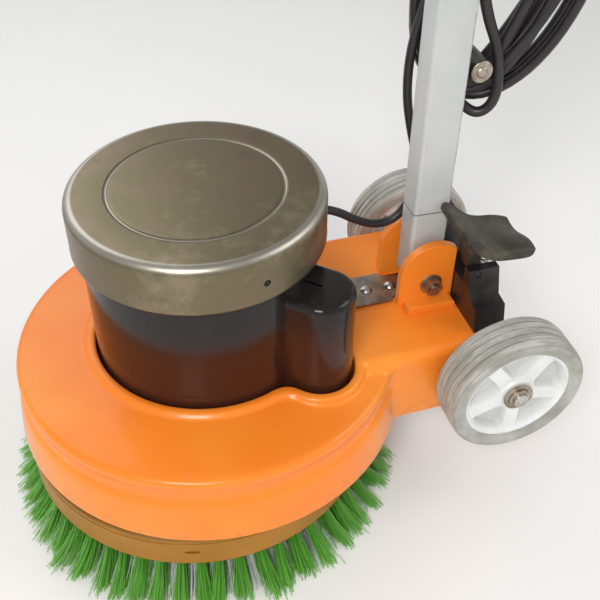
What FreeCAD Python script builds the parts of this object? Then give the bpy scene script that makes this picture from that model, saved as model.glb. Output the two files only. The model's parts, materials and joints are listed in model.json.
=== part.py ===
"""Single-disc floor machine: geared motor on a moulded deck, scrubbing brush, wheels and tilting handle.

Millimetres. +Z is up and -Y is the front, where the disc is. The origin lies on the floor, on the axis
of the brush. Each sub-part is one STEP file in parts/.
"""
import FreeCAD, Part
import math
import os

V = FreeCAD.Vector
X = V(1, 0, 0)
Y = V(0, 1, 0)
Z = V(0, 0, 1)

# ---- driving dimensions: brush and deck ----
DECK_Y = 15.0            # motor and deck axis, behind the brush axis
BRISTLE = 49.0           # bristle length, so the height of the block's underside
BLOCK_R = 197.0
BLOCK_H = 44.0
SKIRT_R = 215.0
SKIRT_Z = 113.0
LIP_Z = 204.0            # top of the rolled lip round the motor
NECK_W = 111.0           # half width of the neck
NECK_TOP = 206.0
NECK_END = 334.0
WALL = 4.0

# ---- motor ----
CAN_R = 119.0
CAN_Z = (150.0, 362.0)
CAP_R = 128.0
CAP_Z = (335.0, 388.0)
CAP_SCREW_Z = 356.0
GROOVE_R = 86.7
BOX_ANGLE = 46.0         # direction of the capacitor box, degrees from +X
BOX_HALF = 34.0
BOX_REACH = 171.0
BOX_TOP = 314.0

# ---- gear train: two spur stages, rotor 8 turns for one of the brush ----
M1 = 1.75
M2 = 2.0
N_MOTOR, N_WHEEL, N_PINION, N_OUT = 14, 42, 15, 40
C1 = M1 * (N_MOTOR + N_WHEEL) / 2
C2 = M2 * (N_PINION + N_OUT) / 2
COUNTER_Y = (C2 ** 2 - C1 ** 2 + DECK_Y ** 2) / (2 * DECK_Y)
COUNTER_X = math.sqrt(C2 ** 2 - COUNTER_Y ** 2)
RUN = 0.05               # radial running clearance of every shaft
CHASSIS_Z = (144.0, 150.0)

# ---- wheels ----
WHEEL_Y = 314.0
WHEEL_Z = 171.5
WHEEL_R = 77.0
WHEEL_X = (123.0, 171.0)
RIM_R = 61.7
AXLE_R = 8.0

# ---- handle hinge ----
PIVOT_Y = 263.0
PIVOT_Z = 232.6
PIVOT_R = 6.0
EAR_X = (25.0, 34.7)
TUBE_W = 32.0
TUBE_D = 41.5
TUBE_WALL = 2.5
TUBE_TOP = 1010.0
PLATE_TOP = 210.0
COVER_Y = (290.5, 326.0)
PEDAL_PIN = (302.0, 262.0)

# ---- handle head, cord hooks and cords ----
HEAD_Z = (968.0, 1085.0)
BAR_Z = 1040.0
BAR_R = 12.0
BAR_HALF = 215.0
HOOK_Z = (471.0, 880.0)
HOOK_Y = 301.0
HOOK_R = 12.0
CORD_D = 11.0
LEAD_D = 9.5
HANK_RUN = (50.0, 110.0) # plan direction in which the hank is spread
PIN_X = (-9.5, 9.5)      # plug pins either side of the plug's axis

os.makedirs("parts", exist_ok=True)


# ---- helpers ----
def cyl(r, z0, z1, x=0.0, y=0.0):
    """Upright cylinder."""
    return Part.makeCylinder(r, z1 - z0, V(x, y, z0), Z)


def ring(r_in, r_out, z0, z1, x=0.0, y=0.0):
    """Upright tube."""
    return cyl(r_out, z0, z1, x, y).cut(cyl(r_in, z0 - 1, z1 + 1, x, y))


def rod(r, x0, x1, y, z):
    """Cylinder along X."""
    return Part.makeCylinder(r, x1 - x0, V(x0, y, z), X)


def block(x0, x1, y0, y1, z0, z1):
    return Part.makeBox(x1 - x0, y1 - y0, z1 - z0, V(x0, y0, z0))


def soft_block(x0, x1, y0, y1, z0, z1, radius, along):
    """Box with its four edges along one direction rounded."""
    body = block(x0, x1, y0, y1, z0, z1)
    edges = [e for e in body.Edges if e.Curve.Direction.cross(along).Length < 1e-6]
    return body.makeFillet(radius, edges)


def polygon(points):
    """Closed face through points."""
    return Part.Face(Part.makePolygon(list(points) + [points[0]]))


def revolve(profile, y=0.0):
    """Solid of revolution about the upright axis at y, from (radius, z) pairs."""
    face = polygon([V(r, y, z) for r, z in profile])
    return face.revolve(V(0, y, 0), Z, 360)


def turned(shape, angle, x=0.0, y=0.0):
    """Copy turned about an upright axis."""
    copy = shape.copy()
    copy.rotate(V(x, y, 0), Z, angle)
    return copy


def around(shape, count, y=0.0, first=0.0):
    """Copies spaced evenly about the upright axis at y."""
    return [turned(shape, first + 360.0 * i / count, 0.0, y) for i in range(count)]


def mirrored(shape):
    return shape.mirror(V(0, 0, 0), X)


def fuse(shapes):
    return shapes[0].multiFuse(shapes[1:]).removeSplitter()


def save(name, *shapes):
    """Write one sub-part; separate solids stay separate."""
    shape = shapes[0] if len(shapes) == 1 else Part.makeCompound(list(shapes))
    solids = shape.Solids
    if not solids or not all(s.isValid() for s in solids):
        print("BAD SHAPE", name)
    shape = solids[0] if len(solids) == 1 else Part.makeCompound(solids)
    shape.exportStep("parts/" + name + ".step")


def spur_gear(teeth, module, z0, z1, x, y, tooth_angle, bore):
    """Involute spur gear with a tooth centred on tooth_angle (degrees)."""
    pressure = math.radians(25)
    pitch_r = teeth * module / 2
    base_r = pitch_r * math.cos(pressure)
    tip_r = pitch_r + 0.95 * module
    root_r = pitch_r - 1.25 * module
    backlash = 0.12
    half = math.pi / (2 * teeth) - backlash / pitch_r
    inv_pitch = math.tan(pressure) - pressure

    def flank_point(radius, side, centre):
        angle_at = math.acos(min(1.0, base_r / radius))
        spread = half + inv_pitch - (math.tan(angle_at) - angle_at)
        angle = centre + side * spread
        return V(x + radius * math.cos(angle), y + radius * math.sin(angle), z0)

    start_r = max(base_r * 1.001, root_r + 0.05)
    radii = [start_r + (tip_r - start_r) * i / 4 for i in range(5)]
    edges = []
    step = 2 * math.pi / teeth
    for k in range(teeth):
        centre = math.radians(tooth_angle) + k * step
        rising = [flank_point(r, -1, centre) for r in radii]
        falling = [flank_point(r, 1, centre) for r in reversed(radii)]
        following = flank_point(radii[0], -1, centre + step)
        gap = centre + step / 2
        floor = V(x + root_r * math.cos(gap), y + root_r * math.sin(gap), z0)
        crest = V(x + tip_r * math.cos(centre), y + tip_r * math.sin(centre), z0)
        for points in (rising, falling):
            curve = Part.BSplineCurve()
            curve.interpolate(points)
            edges.append(curve.toShape())
            if points is rising:
                edges.append(Part.Arc(rising[-1], crest, falling[0]).toShape())
        edges.append(Part.Arc(falling[-1], floor, following).toShape())
    face = Part.Face(Part.Wire(edges))
    gear = face.extrude(Z * (z1 - z0))
    return gear.cut(cyl(bore, z0 - 1, z1 + 1, x, y)) if bore else gear


def bearing(r_in, r_out, z0, z1, x=0.0, y=0.0):
    """Ball bearing: two races and a ring of balls, as separate solids."""
    middle = (r_in + r_out) / 2
    ball_r = (r_out - r_in) * 0.22
    mid_z = (z0 + z1) / 2
    torus = Part.makeTorus(middle, ball_r + 0.1, V(x, y, mid_z), Z)
    inner = ring(r_in, middle - 0.55 * ball_r, z0, z1, x, y).cut(torus)
    outer = ring(middle + 0.55 * ball_r, r_out, z0, z1, x, y).cut(torus)
    count = int(math.pi * middle / (ball_r * 1.25))
    balls = []
    for i in range(count):
        angle = 2 * math.pi * i / count
        place = V(x + middle * math.cos(angle), y + middle * math.sin(angle), mid_z)
        balls.append(Part.makeSphere(ball_r, place))
    return [inner, outer] + balls


def helix_spring(wire_r, coil_r, turns, base, direction, length):
    """Compression spring from base along direction."""
    helix = Part.makeHelix(length / turns, length, coil_r)
    start = Part.Wire(Part.Circle(V(coil_r, 0, 0), Y, wire_r).toShape())
    spring = Part.Wire(helix.Edges).makePipeShell([start], True, True)
    spring.Placement = FreeCAD.Placement(base, FreeCAD.Rotation(Z, direction))
    return spring


def cord_tube(points, diameter, name):
    """Cord along straight runs joined by tangent arcs, each as large as its runs allow."""
    edges = []
    here = points[0]
    for before, corner, after in zip(points, points[1:], points[2:]):
        run_in = (corner - before).Length
        run_out = (after - corner).Length
        back = (before - corner).normalize()
        ahead = (after - corner).normalize()
        half_turn = (math.pi - back.getAngle(ahead)) / 2
        trim = 0.45 * min(run_in, run_out)
        radius = trim / math.tan(half_turn)
        centre = corner + (back + ahead).normalize() * (radius / math.cos(half_turn))
        middle = centre + (corner - centre).normalize() * radius
        start = corner + back * trim
        end = corner + ahead * trim
        edges.append(Part.LineSegment(here, start).toShape())
        edges.append(Part.Arc(start, middle, end).toShape())
        here = end
        print(name, "radius", round(radius, 1))
    edges.append(Part.LineSegment(here, points[-1]).toShape())
    path = Part.Wire(edges)
    section = Part.Circle(points[0], points[1] - points[0], diameter / 2).toShape()
    tube = path.makePipeShell([Part.Wire(section)], True, False)
    expected = math.pi * diameter ** 2 / 4 * path.Length
    print(name, "length", round(path.Length), "volume ratio", round(tube.Volume / expected, 4))
    return tube


# ---- brush ----
def bristle_zone(r_in, r_out, foot_in, foot_out):
    """Plain body of a bristle field, from the block's underside to the floor."""
    return revolve([(r_in, BRISTLE), (foot_in, 0), (foot_out, 0), (r_out, BRISTLE)])


def brush_parts():
    top = BRISTLE + BLOCK_H
    body = cyl(BLOCK_R, BRISTLE, top)
    rims = [e for e in body.Edges if isinstance(e.Curve, Part.Circle)]
    body = body.makeFillet(3, rims)
    lip_groove = ring(BLOCK_R - 3, BLOCK_R + 1, top - 10, top - 8.5)
    recess = cyl(60, top - 8, top + 1)
    bore = cyl(32, BRISTLE - 1, top + 1)
    key_slot = block(-6, 6, -BLOCK_R - 1, -BLOCK_R + 8, BRISTLE + 18, BRISTLE + 25)
    slots = around(key_slot, 3, 0.0, 75.0)
    save("brush_block", body.cut(fuse([lip_groove, recess, bore])).cut(Part.makeCompound(slots)))
    save("bristles_outer", bristle_zone(158, 192, 182, 238))
    save("bristles_inner", bristle_zone(0, 150, 0, 174))
    hub = fuse([cyl(58, top - 8, top - 1), cyl(24, top - 1, top + 9)])
    lugs = around(block(44, 57, -9, 9, top - 1, top + 3), 3)
    hub = fuse([hub] + lugs).cut(cyl(11, top - 20, top + 20))
    save("drive_hub", hub)
    save("output_shaft", fuse([cyl(11, top - 6, 106), cyl(15, 106, 152)]))
    save("output_gear", spur_gear(N_OUT, M2, 127, 149, 0, 0, OUT_PHASE, 15))


COUNTER_ANGLE_M = math.degrees(math.atan2(COUNTER_Y - DECK_Y, COUNTER_X))
COUNTER_ANGLE_O = math.degrees(math.atan2(COUNTER_Y, COUNTER_X))
OUT_PHASE = COUNTER_ANGLE_O + 180.0 / N_OUT


# ---- gearbox ----
def gearbox_parts():
    outer = fuse([cyl(98, 116, 178, 0, DECK_Y), ring(97, 112, 150, 157, 0, DECK_Y)])
    inner = cyl(93, 122, 179, 0, DECK_Y)
    boss = fuse([cyl(38, 105, 122), cyl(24, 109, 126, COUNTER_X, COUNTER_Y)])
    seats = fuse([cyl(31, 107, 123), cyl(17.5, 113, 127, COUNTER_X, COUNTER_Y)])
    housing = fuse([outer.cut(inner), boss]).cut(seats).cut(cyl(16, 100, 130))
    flange_holes = around(cyl(3, 140, 160, 105, DECK_Y), 6, DECK_Y, 16.0)
    save("gearbox_housing", housing.cut(Part.makeCompound(flange_holes)))

    cover = cyl(98, 178, 186, 0, DECK_Y)
    bosses = fuse([cyl(30, 178, 195, 0, DECK_Y), cyl(22, 174, 190, COUNTER_X, COUNTER_Y)])
    pockets = fuse([cyl(23.5, 181, 196, 0, DECK_Y), cyl(17.5, 173, 185, COUNTER_X, COUNTER_Y)])
    cover = fuse([cover, bosses]).cut(pockets).cut(cyl(12, 170, 190, 0, DECK_Y))
    save("gearbox_cover", cover)

    shaft = fuse([
        cyl(7.5, 114, 126, COUNTER_X, COUNTER_Y),
        spur_gear(N_PINION, M2, 127, 149, COUNTER_X, COUNTER_Y, COUNTER_ANGLE_O + 180, 0),
        cyl(10, 126, 172, COUNTER_X, COUNTER_Y),
        cyl(7.5, 172, 184, COUNTER_X, COUNTER_Y),
    ])
    save("countershaft", shaft)
    phase = COUNTER_ANGLE_M + 180 + 180.0 / N_WHEEL
    save("countershaft_gear", spur_gear(N_WHEEL, M1, 155, 170, COUNTER_X, COUNTER_Y, phase, 10))

    races = bearing(15 + RUN, 31, 107, 123)
    races += bearing(7.5 + RUN, 17.5, 114, 125, COUNTER_X, COUNTER_Y)
    races += bearing(7.5 + RUN, 17.5, 173.5, 184.5, COUNTER_X, COUNTER_Y)
    races += bearing(10 + RUN, 23.5, 181, 195, 0, DECK_Y)
    races += bearing(8.5 + RUN, 20, 320, 332, 0, DECK_Y)
    save("ball_bearings", *races)


# ---- motor ----
def box_outline(grow, z):
    """Plan outline of the capacitor box, pointing along +X before it is turned to its place."""
    half = BOX_HALF + grow
    reach = BOX_REACH + grow
    outline = soft_block(60, reach, -half, half, z, z + 1, 32 + grow, Z)
    face = [f for f in outline.Faces if abs(f.CenterOfMass.z - z) < 1e-6][0]
    return face


def box_prism(grow, z0, z1):
    prism = box_outline(grow, z0).extrude(Z * (z1 - z0))
    prism.rotate(V(0, 0, 0), Z, BOX_ANGLE)
    prism.translate(V(0, DECK_Y, 0))
    return prism


def motor_parts():
    can_bottom, can_top = CAN_Z
    can = cyl(CAN_R, can_bottom, can_top, 0, DECK_Y)
    can = can.cut(cyl(CAN_R - 5, can_bottom - 1, can_top - 5, 0, DECK_Y))
    can = can.cut(cyl(CAN_R - 20, can_top - 6, can_top + 1, 0, DECK_Y))
    collar = ring(CAN_R - 1, CAP_R - 2.4, can_top - 12, can_top, 0, DECK_Y)
    thread = Part.makeCylinder(3.2, 12, V(CAP_R - 10, DECK_Y, CAP_SCREW_Z), X)
    can = fuse([can, collar]).cut(Part.makeCompound(around(thread, 3, DECK_Y, 17.0)))
    window = box_prism(-6, can_bottom + 20, BOX_TOP - 20).common(ring(60, CAN_R + 1, 0, 400, 0, DECK_Y))
    lead_hole = Part.makeCylinder(6, 30, V(-20, CAN_R - 10, 320), Y)
    can = can.cut(window).cut(lead_hole)
    save("motor_housing", can)

    box = box_prism(0, can_bottom, BOX_TOP)
    top_edges = [e for e in box.Edges if e.BoundBox.ZMin > BOX_TOP - 0.01]
    outer_edges = [e for e in top_edges if e.BoundBox.getPoint(0).Length > 60]
    box = box.makeFillet(9, outer_edges)
    box = box.cut(box_prism(-3, can_bottom + 4, BOX_TOP - 10))
    box = box.cut(cyl(CAN_R + 0.02, 100, 400, 0, DECK_Y))
    save("capacitor_box", box)

    capacitors = []
    for along, across, radius, top in ((138, -13, 15, 250), (138, 17, 12.5, 262)):
        body = cyl(radius, can_bottom + 4, top, along, across)
        pegs = [cyl(2, top, top + 7, along + side * 6, across) for side in (-1, 1)]
        cell = turned(fuse([body] + pegs), BOX_ANGLE)
        cell.translate(V(0, DECK_Y, 0))
        capacitors.append(cell)
    save("capacitors", *capacitors)

    z0, z1 = CAP_Z
    cap = cyl(CAP_R, z0, z1, 0, DECK_Y)
    rim = [e for e in cap.Edges if isinstance(e.Curve, Part.Circle) and e.Curve.Center.z > z1 - 1]
    cap = cap.makeFillet(9, rim)
    hollow = cyl(CAP_R - 2.4, z0 - 1, z1 - 2.4, 0, DECK_Y)
    rim = [e for e in hollow.Edges if isinstance(e.Curve, Part.Circle) and e.Curve.Center.z > z1 - 4]
    cap = cap.cut(hollow.makeFillet(7, rim))
    cap = cap.cut(ring(GROOVE_R - 1, GROOVE_R + 1, z1 - 0.9, z1 + 1, 0, DECK_Y))
    hole = Part.makeCylinder(3.4, 12, V(CAP_R - 6, DECK_Y, CAP_SCREW_Z), X)
    for drill in around(hole, 3, DECK_Y, 17.0):
        cap = cap.cut(drill)
    save("motor_cap", cap)
    screw_body = Part.makeCylinder(3.2, 10, V(CAP_R - 9.5, DECK_Y, CAP_SCREW_Z), X)
    head = Part.makeSphere(6, V(CAP_R - 3, DECK_Y, CAP_SCREW_Z))
    head = head.cut(Part.makeCylinder(20, 20.2, V(CAP_R - 20, DECK_Y, CAP_SCREW_Z), X))
    screw = fuse([screw_body, head])
    save("cap_screws", turned(screw, 137, 0, DECK_Y), turned(screw, 257, 0, DECK_Y))

    frame = ring(86, 91, 186, 318, 0, DECK_Y)
    frame = frame.cut(block(-12, 12, DECK_Y + 80, DECK_Y + 95, 300, 312))
    save("motor_frame", frame)
    shield = fuse([cyl(91, 318, 324, 0, DECK_Y), cyl(27, 318, 334, 0, DECK_Y)])
    shield = shield.cut(cyl(20, 320, 335, 0, DECK_Y)).cut(cyl(11, 310, 330, 0, DECK_Y))
    vent = soft_block(38, 78, DECK_Y - 7, DECK_Y + 7, 310, 330, 6, Z)
    for slot in around(vent, 8, DECK_Y):
        shield = shield.cut(slot)
    save("motor_top_shield", shield)

    core = ring(50.5, 86, 228, 298, 0, DECK_Y)
    slot = block(50, 70, DECK_Y - 2.2, DECK_Y + 2.2, 227, 299)
    for groove in around(slot, 24, DECK_Y):
        core = core.cut(groove)
    save("stator_core", core)
    windings = []
    for z0, z1 in ((208, 228), (298, 314)):
        coil = ring(54, 80, z0, z1, 0, DECK_Y)
        rims = [e for e in coil.Edges if isinstance(e.Curve, Part.Circle)]
        windings.append(coil.makeFillet(6, rims))
    save("stator_windings", *windings)

    save("rotor_core", ring(12, 50, 228, 298, 0, DECK_Y))
    pinion = spur_gear(N_MOTOR, M1, 154, 171, 0, DECK_Y, COUNTER_ANGLE_M, 0)
    shaft = fuse([
        pinion,
        cyl(10, 171, 200, 0, DECK_Y),
        cyl(12, 200, 318, 0, DECK_Y),
        cyl(8.5, 318, 358, 0, DECK_Y),
    ])
    save("rotor_shaft", shaft)
    blade = block(16, 76, DECK_Y - 1.2, DECK_Y + 1.2, 341, 362)
    fan = fuse([cyl(78, 338.5, 341, 0, DECK_Y), cyl(18, 338.5, 356, 0, DECK_Y)] + around(blade, 9, DECK_Y))
    save("cooling_fan", fan.cut(cyl(8.5, 330, 365, 0, DECK_Y)))

    gland = fuse([
        Part.makeCylinder(10, 9, V(-20, DECK_Y + CAN_R - 2, 320), Y),
        Part.makeCylinder(7.5, 10, V(-20, DECK_Y + CAN_R + 7, 320), Y),
    ])
    gland = gland.cut(cyl(CAN_R, 300, 340, 0, DECK_Y))
    save("lead_gland", gland.cut(Part.makeCylinder(LEAD_D / 2, 40, V(-20, DECK_Y + 100, 320), Y)))


# ---- deck ----
def deck_profile(inset):
    """Half section of the round hood: lip, nearly flat top, ridge, hollow band, ridge and skirt."""
    lip = 121.5
    return [
        (lip, LIP_Z - inset), (128, LIP_Z - inset), (133, LIP_Z - 4 - inset),
        (200 - inset / 2, 194 - inset), (206 - inset, 191 - inset), (208 - inset, 186 - inset / 2),
        (204.5 - inset, 178), (204 - inset, 168), (207.5 - inset, 159), (209.5 - inset, 152),
        (SKIRT_R - inset, SKIRT_Z), (lip, SKIRT_Z),
    ]


def deck_parts():
    hood = revolve(deck_profile(0), DECK_Y)
    neck = soft_block(-NECK_W, NECK_W, DECK_Y + 60, NECK_END, SKIRT_Z - 20, NECK_TOP, 14, Y)
    neck = neck.cut(block(-300, 300, 0, 500, 0, SKIRT_Z))
    outer = fuse([hood, neck.cut(cyl(122, 0, 400, 0, DECK_Y))])
    inner_hood = revolve(deck_profile(WALL), DECK_Y)
    inner_hood = inner_hood.cut(ring(0.1, 130, LIP_Z - 8, LIP_Z, 0, DECK_Y))
    inner_neck = soft_block(-NECK_W + WALL, NECK_W - WALL, DECK_Y + 60, NECK_END - WALL,
                            SKIRT_Z - 30, NECK_TOP - WALL, 11, Y)
    inner = fuse([inner_hood, inner_neck]).cut(block(-300, 300, 0, 500, LIP_Z - 8, 300).common(
        cyl(140, 0, 400, 0, DECK_Y)))
    deck = outer.cut(inner)
    opening = fuse([cyl(CAN_R + 2, 100, 300, 0, DECK_Y), box_prism(3, 100, 300)])
    lip = fuse([cyl(CAN_R + 7, LIP_Z - 26, LIP_Z, 0, DECK_Y), box_prism(8, LIP_Z - 26, LIP_Z)])
    lip = lip.cut(block(-300, 300, -300, 500, LIP_Z - 6, 400).cut(
        fuse([cyl(CAN_R + 5, 0, 400, 0, DECK_Y), box_prism(6, 0, 400)])))
    deck = fuse([deck, lip]).cut(opening)
    axle_hole = rod(AXLE_R, -NECK_W - 5, NECK_W + 5, WHEEL_Y, WHEEL_Z)
    bolt_holes = [cyl(4.2, NECK_TOP - 20, NECK_TOP + 2, 0, y) for y in (200.5, 229.5)]
    deck = deck.cut(axle_hole).cut(Part.makeCompound(bolt_holes))
    boss_places = []
    for angle in (-150, -100, -30, 10, 165, 205):
        turn = math.radians(angle)
        boss_places.append((165 * math.cos(turn), DECK_Y + 165 * math.sin(turn)))
    plate_z0, plate_z1 = CHASSIS_Z
    bosses = [cyl(11, plate_z1, 194, x, y).cut(cyl(3.2, 100, 166, x, y)) for x, y in boss_places]
    save("deck_housing", fuse([deck] + bosses))

    plate = ring(98.6, 192, plate_z0, plate_z1, 0, DECK_Y)
    bolts = []
    for x, y in boss_places:
        plate = plate.cut(cyl(4.2, 140, 160, x, y))
        bolts.append(fuse([cyl(7, plate_z0 - 5, plate_z0, x, y), cyl(3.2, plate_z0 - 2, 165, x, y)]))
    flange_bolt = fuse([cyl(6, 157, 161, 105, DECK_Y), cyl(3, 140, 158, 105, DECK_Y),
                        cyl(6, 139, plate_z0, 105, DECK_Y)])
    flange_holes = around(cyl(3, 130, 160, 105, DECK_Y), 6, DECK_Y, 16.0)
    save("chassis_plate", plate.cut(Part.makeCompound(flange_holes)))
    save("chassis_bolts", *(bolts + around(flange_bolt, 6, DECK_Y, 16.0)))


# ---- rear: hinge, pedal, cover, wheels ----
def hinge_parts():
    x0, x1 = EAR_X
    arc_y, arc_z, arc_r = 266.0, 245.0, 40.0
    profile = Part.makeCylinder(arc_r, x1 - x0, V(x0, arc_y, arc_z), X)
    foot = block(x0, x1, arc_y - arc_r, 290, NECK_TOP, arc_z)
    ear = fuse([profile, foot]).cut(block(x0 - 1, x1 + 1, 290, 320, 200, 300))
    ear = ear.cut(block(x0 - 1, x1 + 1, 200, 320, 190, NECK_TOP))
    pad = soft_block(x0, x1 + 17, arc_y - 35, 288, NECK_TOP - 12, NECK_TOP + 11, 6, X)
    pad = pad.cut(block(0, 100, 200, 320, 150, NECK_TOP))
    ear = fuse([ear, pad]).cut(rod(PIVOT_R, x0 - 1, x1 + 1, PIVOT_Y, PIVOT_Z))
    save("hinge_ears", ear, mirrored(ear))

    plate = soft_block(-18.5, 18.5, 172, 289, NECK_TOP, PLATE_TOP, 3, Z)
    plate = fuse([plate, soft_block(-24, 24, 172, 225, NECK_TOP, PLATE_TOP, 3, Z)])
    bolt_places = (200.5, 229.5)
    for y in bolt_places:
        plate = plate.cut(cyl(4.2, 200, 220, 0, y))
    save("hinge_plate", plate)
    bolts = []
    for y in bolt_places:
        dome = Part.makeSphere(8.5, V(0, y, PLATE_TOP - 4.5))
        dome = dome.cut(block(-20, 20, y - 20, y + 20, 190, PLATE_TOP))
        bolts.append(fuse([dome, cyl(4, 190, PLATE_TOP + 1, 0, y)]))
    save("hinge_plate_bolts", *bolts)

    washer_x = x1 + 2
    shank = rod(PIVOT_R, -washer_x - 3, washer_x + 11.5, PIVOT_Y, PIVOT_Z)
    pieces = [fuse([shank, hexagon(9.2, -washer_x - 7, -washer_x, PIVOT_Y, PIVOT_Z)])]
    for start, end in ((x1, washer_x), (-washer_x, -x1)):
        pieces.append(rod(13, start, end, PIVOT_Y, PIVOT_Z).cut(rod(PIVOT_R, -60, 60, PIVOT_Y, PIVOT_Z)))
    nut = hexagon(9.2, washer_x, washer_x + 8, PIVOT_Y, PIVOT_Z)
    pieces.append(nut.cut(rod(PIVOT_R, 0, 60, PIVOT_Y, PIVOT_Z)))
    save("pivot_bolt", *pieces)


def hexagon(across, x0, x1, y, z):
    """Hexagonal prism along X, with this distance from its centre to a flat."""
    corner = across / math.cos(math.pi / 6)
    points = []
    for i in range(6):
        angle = i * math.pi / 3
        points.append(V(x0, y + corner * math.cos(angle), z + corner * math.sin(angle)))
    return polygon(points).extrude(X * (x1 - x0))


def cover_parts():
    """Stepped moulding behind the ears, with a slot for the handle to swing back into."""
    y0, y1 = COVER_Y
    outline = [(-97, NECK_TOP), (-91, 235), (-75, 237), (-66, 268), (66, 268), (75, 237), (91, 235),
               (97, NECK_TOP)]
    body = polygon([V(x, y0, z) for x, z in outline]).extrude(Y * (y1 - y0))
    body = body.cut(block(-18.5, 18.5, y0 - 1, y1 + 1, 221, 300))
    for near, far in ((22, 62), (-62, -22)):
        body = body.cut(block(near, far, y0 + 4, y1 - 4, NECK_TOP - 1, 240))
    pin_y, pin_z = PEDAL_PIN
    pin_hole = rod(3.0, 10, 70, pin_y, pin_z)
    pedal_slot = block(30, 56, y0 - 1, y1 + 1, 246, 300)
    body = body.cut(pin_hole).cut(pedal_slot)
    save("rear_cover", body)
    save("pedal_pin", rod(3.0, 19.5, 64, pin_y, pin_z))


def pedal_parts():
    """Foot pedal: a dished tread on a boss that turns on the pedal pin."""
    pin_y, pin_z = PEDAL_PIN
    side = [(271, 322), (284, 309), (299, 298), (322, 293), (350, 290), (352, 300), (330, 304),
            (303, 308), (288, 320), (274, 331)]
    tread = polygon([V(19.5, y, z) for y, z in side]).extrude(X * 68.5)
    long_edges = [e for e in tread.Edges if e.Length > 60 and abs(e.tangentAt(0).x) > 0.9]
    tread = tread.makeFillet(2.0, long_edges)
    boss_profile = [(pin_y - 8, pin_z - 8), (pin_y + 8, pin_z - 8), (pin_y + 6, 299), (pin_y - 10, 302)]
    boss = polygon([V(31, y, z) for y, z in boss_profile]).extrude(X * 24)
    pedal = fuse([tread, boss]).cut(rod(3.0 + RUN, 25, 60, pin_y, pin_z))
    save("foot_pedal", pedal)
    save("pedal_spring", helix_spring(1.0, 4.0, 8, V(43, 320.5, 247.2), Z, 43.5))


def wheel_parts():
    x0, x1 = WHEEL_X
    mid = (x0 + x1) / 2
    tyre_profile = [(RIM_R, x0 + 3), (WHEEL_R - 6, x0), (WHEEL_R - 1.5, x0 + 4)]
    for i in range(4):
        groove = x0 + 11 + i * 8.7
        tyre_profile += [(WHEEL_R, groove - 1.5), (WHEEL_R - 2.5, groove - 0.6),
                         (WHEEL_R - 2.5, groove + 0.6), (WHEEL_R, groove + 1.5)]
    tyre_profile += [(WHEEL_R - 1.5, x1 - 4), (WHEEL_R - 6, x1), (RIM_R, x1 - 3)]
    tyre = polygon([V(x, 0, r) for r, x in tyre_profile]).revolve(V(0, 0, 0), X, 360)

    hub_ring = rod(RIM_R, x0 + 3, x1 - 3, 0, 0).cut(rod(RIM_R - 6, x0, x1, 0, 0))
    boss = rod(19, x0, x1 - 4, 0, 0)
    web = rod(RIM_R - 5, mid - 2, mid + 2, 0, 0)
    spokes = []
    for i in range(5):
        spoke = block(x0 + 6, x1 - 6, -8, 8, 15, RIM_R - 5)
        spoke.rotate(V(0, 0, 0), X, 72.0 * i + 38)
        spokes.append(spoke)
    hub = fuse([hub_ring, boss, web] + spokes).cut(rod(AXLE_R + RUN, x0 - 1, x1 + 1, 0, 0))
    place = V(0, WHEEL_Y, WHEEL_Z)
    for shape, name in ((tyre, "tyre"), (hub, "hub")):
        shape.translate(place)
        save(name + "_right", shape)
        save(name + "_left", mirrored(shape))
    save("axle", rod(AXLE_R, -x1 - 5, x1 + 5, WHEEL_Y, WHEEL_Z))
    retainers = []
    places = ((NECK_W, x0 - 0.5, 12), (x1 - 3.6, x1 - 1, 16.5), (x1 - 1, x1 + 1.5, 12))
    for start, end, radius in places:
        washer = rod(radius, start, end, WHEEL_Y, WHEEL_Z)
        washer = washer.cut(rod(AXLE_R, start - 1, end + 1, WHEEL_Y, WHEEL_Z))
        retainers += [washer, mirrored(washer)]
    save("axle_retainers", *retainers)


# ---- handle ----
def handle_parts():
    half_d = TUBE_D / 2
    tube = soft_block(-TUBE_W / 2, TUBE_W / 2, PIVOT_Y - half_d, PIVOT_Y + half_d,
                      PIVOT_Z, TUBE_TOP, 4, Z)
    hollow = soft_block(-TUBE_W / 2 + TUBE_WALL, TUBE_W / 2 - TUBE_WALL, PIVOT_Y - half_d + TUBE_WALL,
                        PIVOT_Y + half_d - TUBE_WALL, PIVOT_Z - 1, TUBE_TOP + 1, 2, Z)
    shell = tube.cut(hollow)
    round_end = rod(half_d, -TUBE_W / 2, TUBE_W / 2, PIVOT_Y, PIVOT_Z)
    below = round_end.cut(block(-50, 50, 200, 320, PIVOT_Z, 300))
    below = below.cut(block(-TUBE_W / 2 + TUBE_WALL, TUBE_W / 2 - TUBE_WALL, 200, 320, 190, 300))
    shell = fuse([shell, below]).cut(rod(PIVOT_R + 3, -50, 50, PIVOT_Y, PIVOT_Z))
    save("handle_tube", shell)
    foot = rod(half_d - 3.2, -TUBE_W / 2 + 3.2, TUBE_W / 2 - 3.2, PIVOT_Y, PIVOT_Z)
    foot = fuse([foot, rod(PIVOT_R + 3, -EAR_X[0] + 0.3, EAR_X[0] - 0.3, PIVOT_Y, PIVOT_Z)])
    save("pivot_bush", foot.cut(rod(PIVOT_R + RUN, -50, 50, PIVOT_Y, PIVOT_Z)))

    hooks = []
    rear = PIVOT_Y + half_d
    for z in HOOK_Z:
        bobbin = rod(HOOK_R, -50, 8, HOOK_Y, z)
        arm = block(-12, 2, rear, HOOK_Y, z - 9, z + 9)
        flange = rod(HOOK_R + 2, -54, -50, HOOK_Y, z)
        hooks.append(fuse([bobbin, arm, flange]))
    save("cord_hooks", *hooks)


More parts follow.
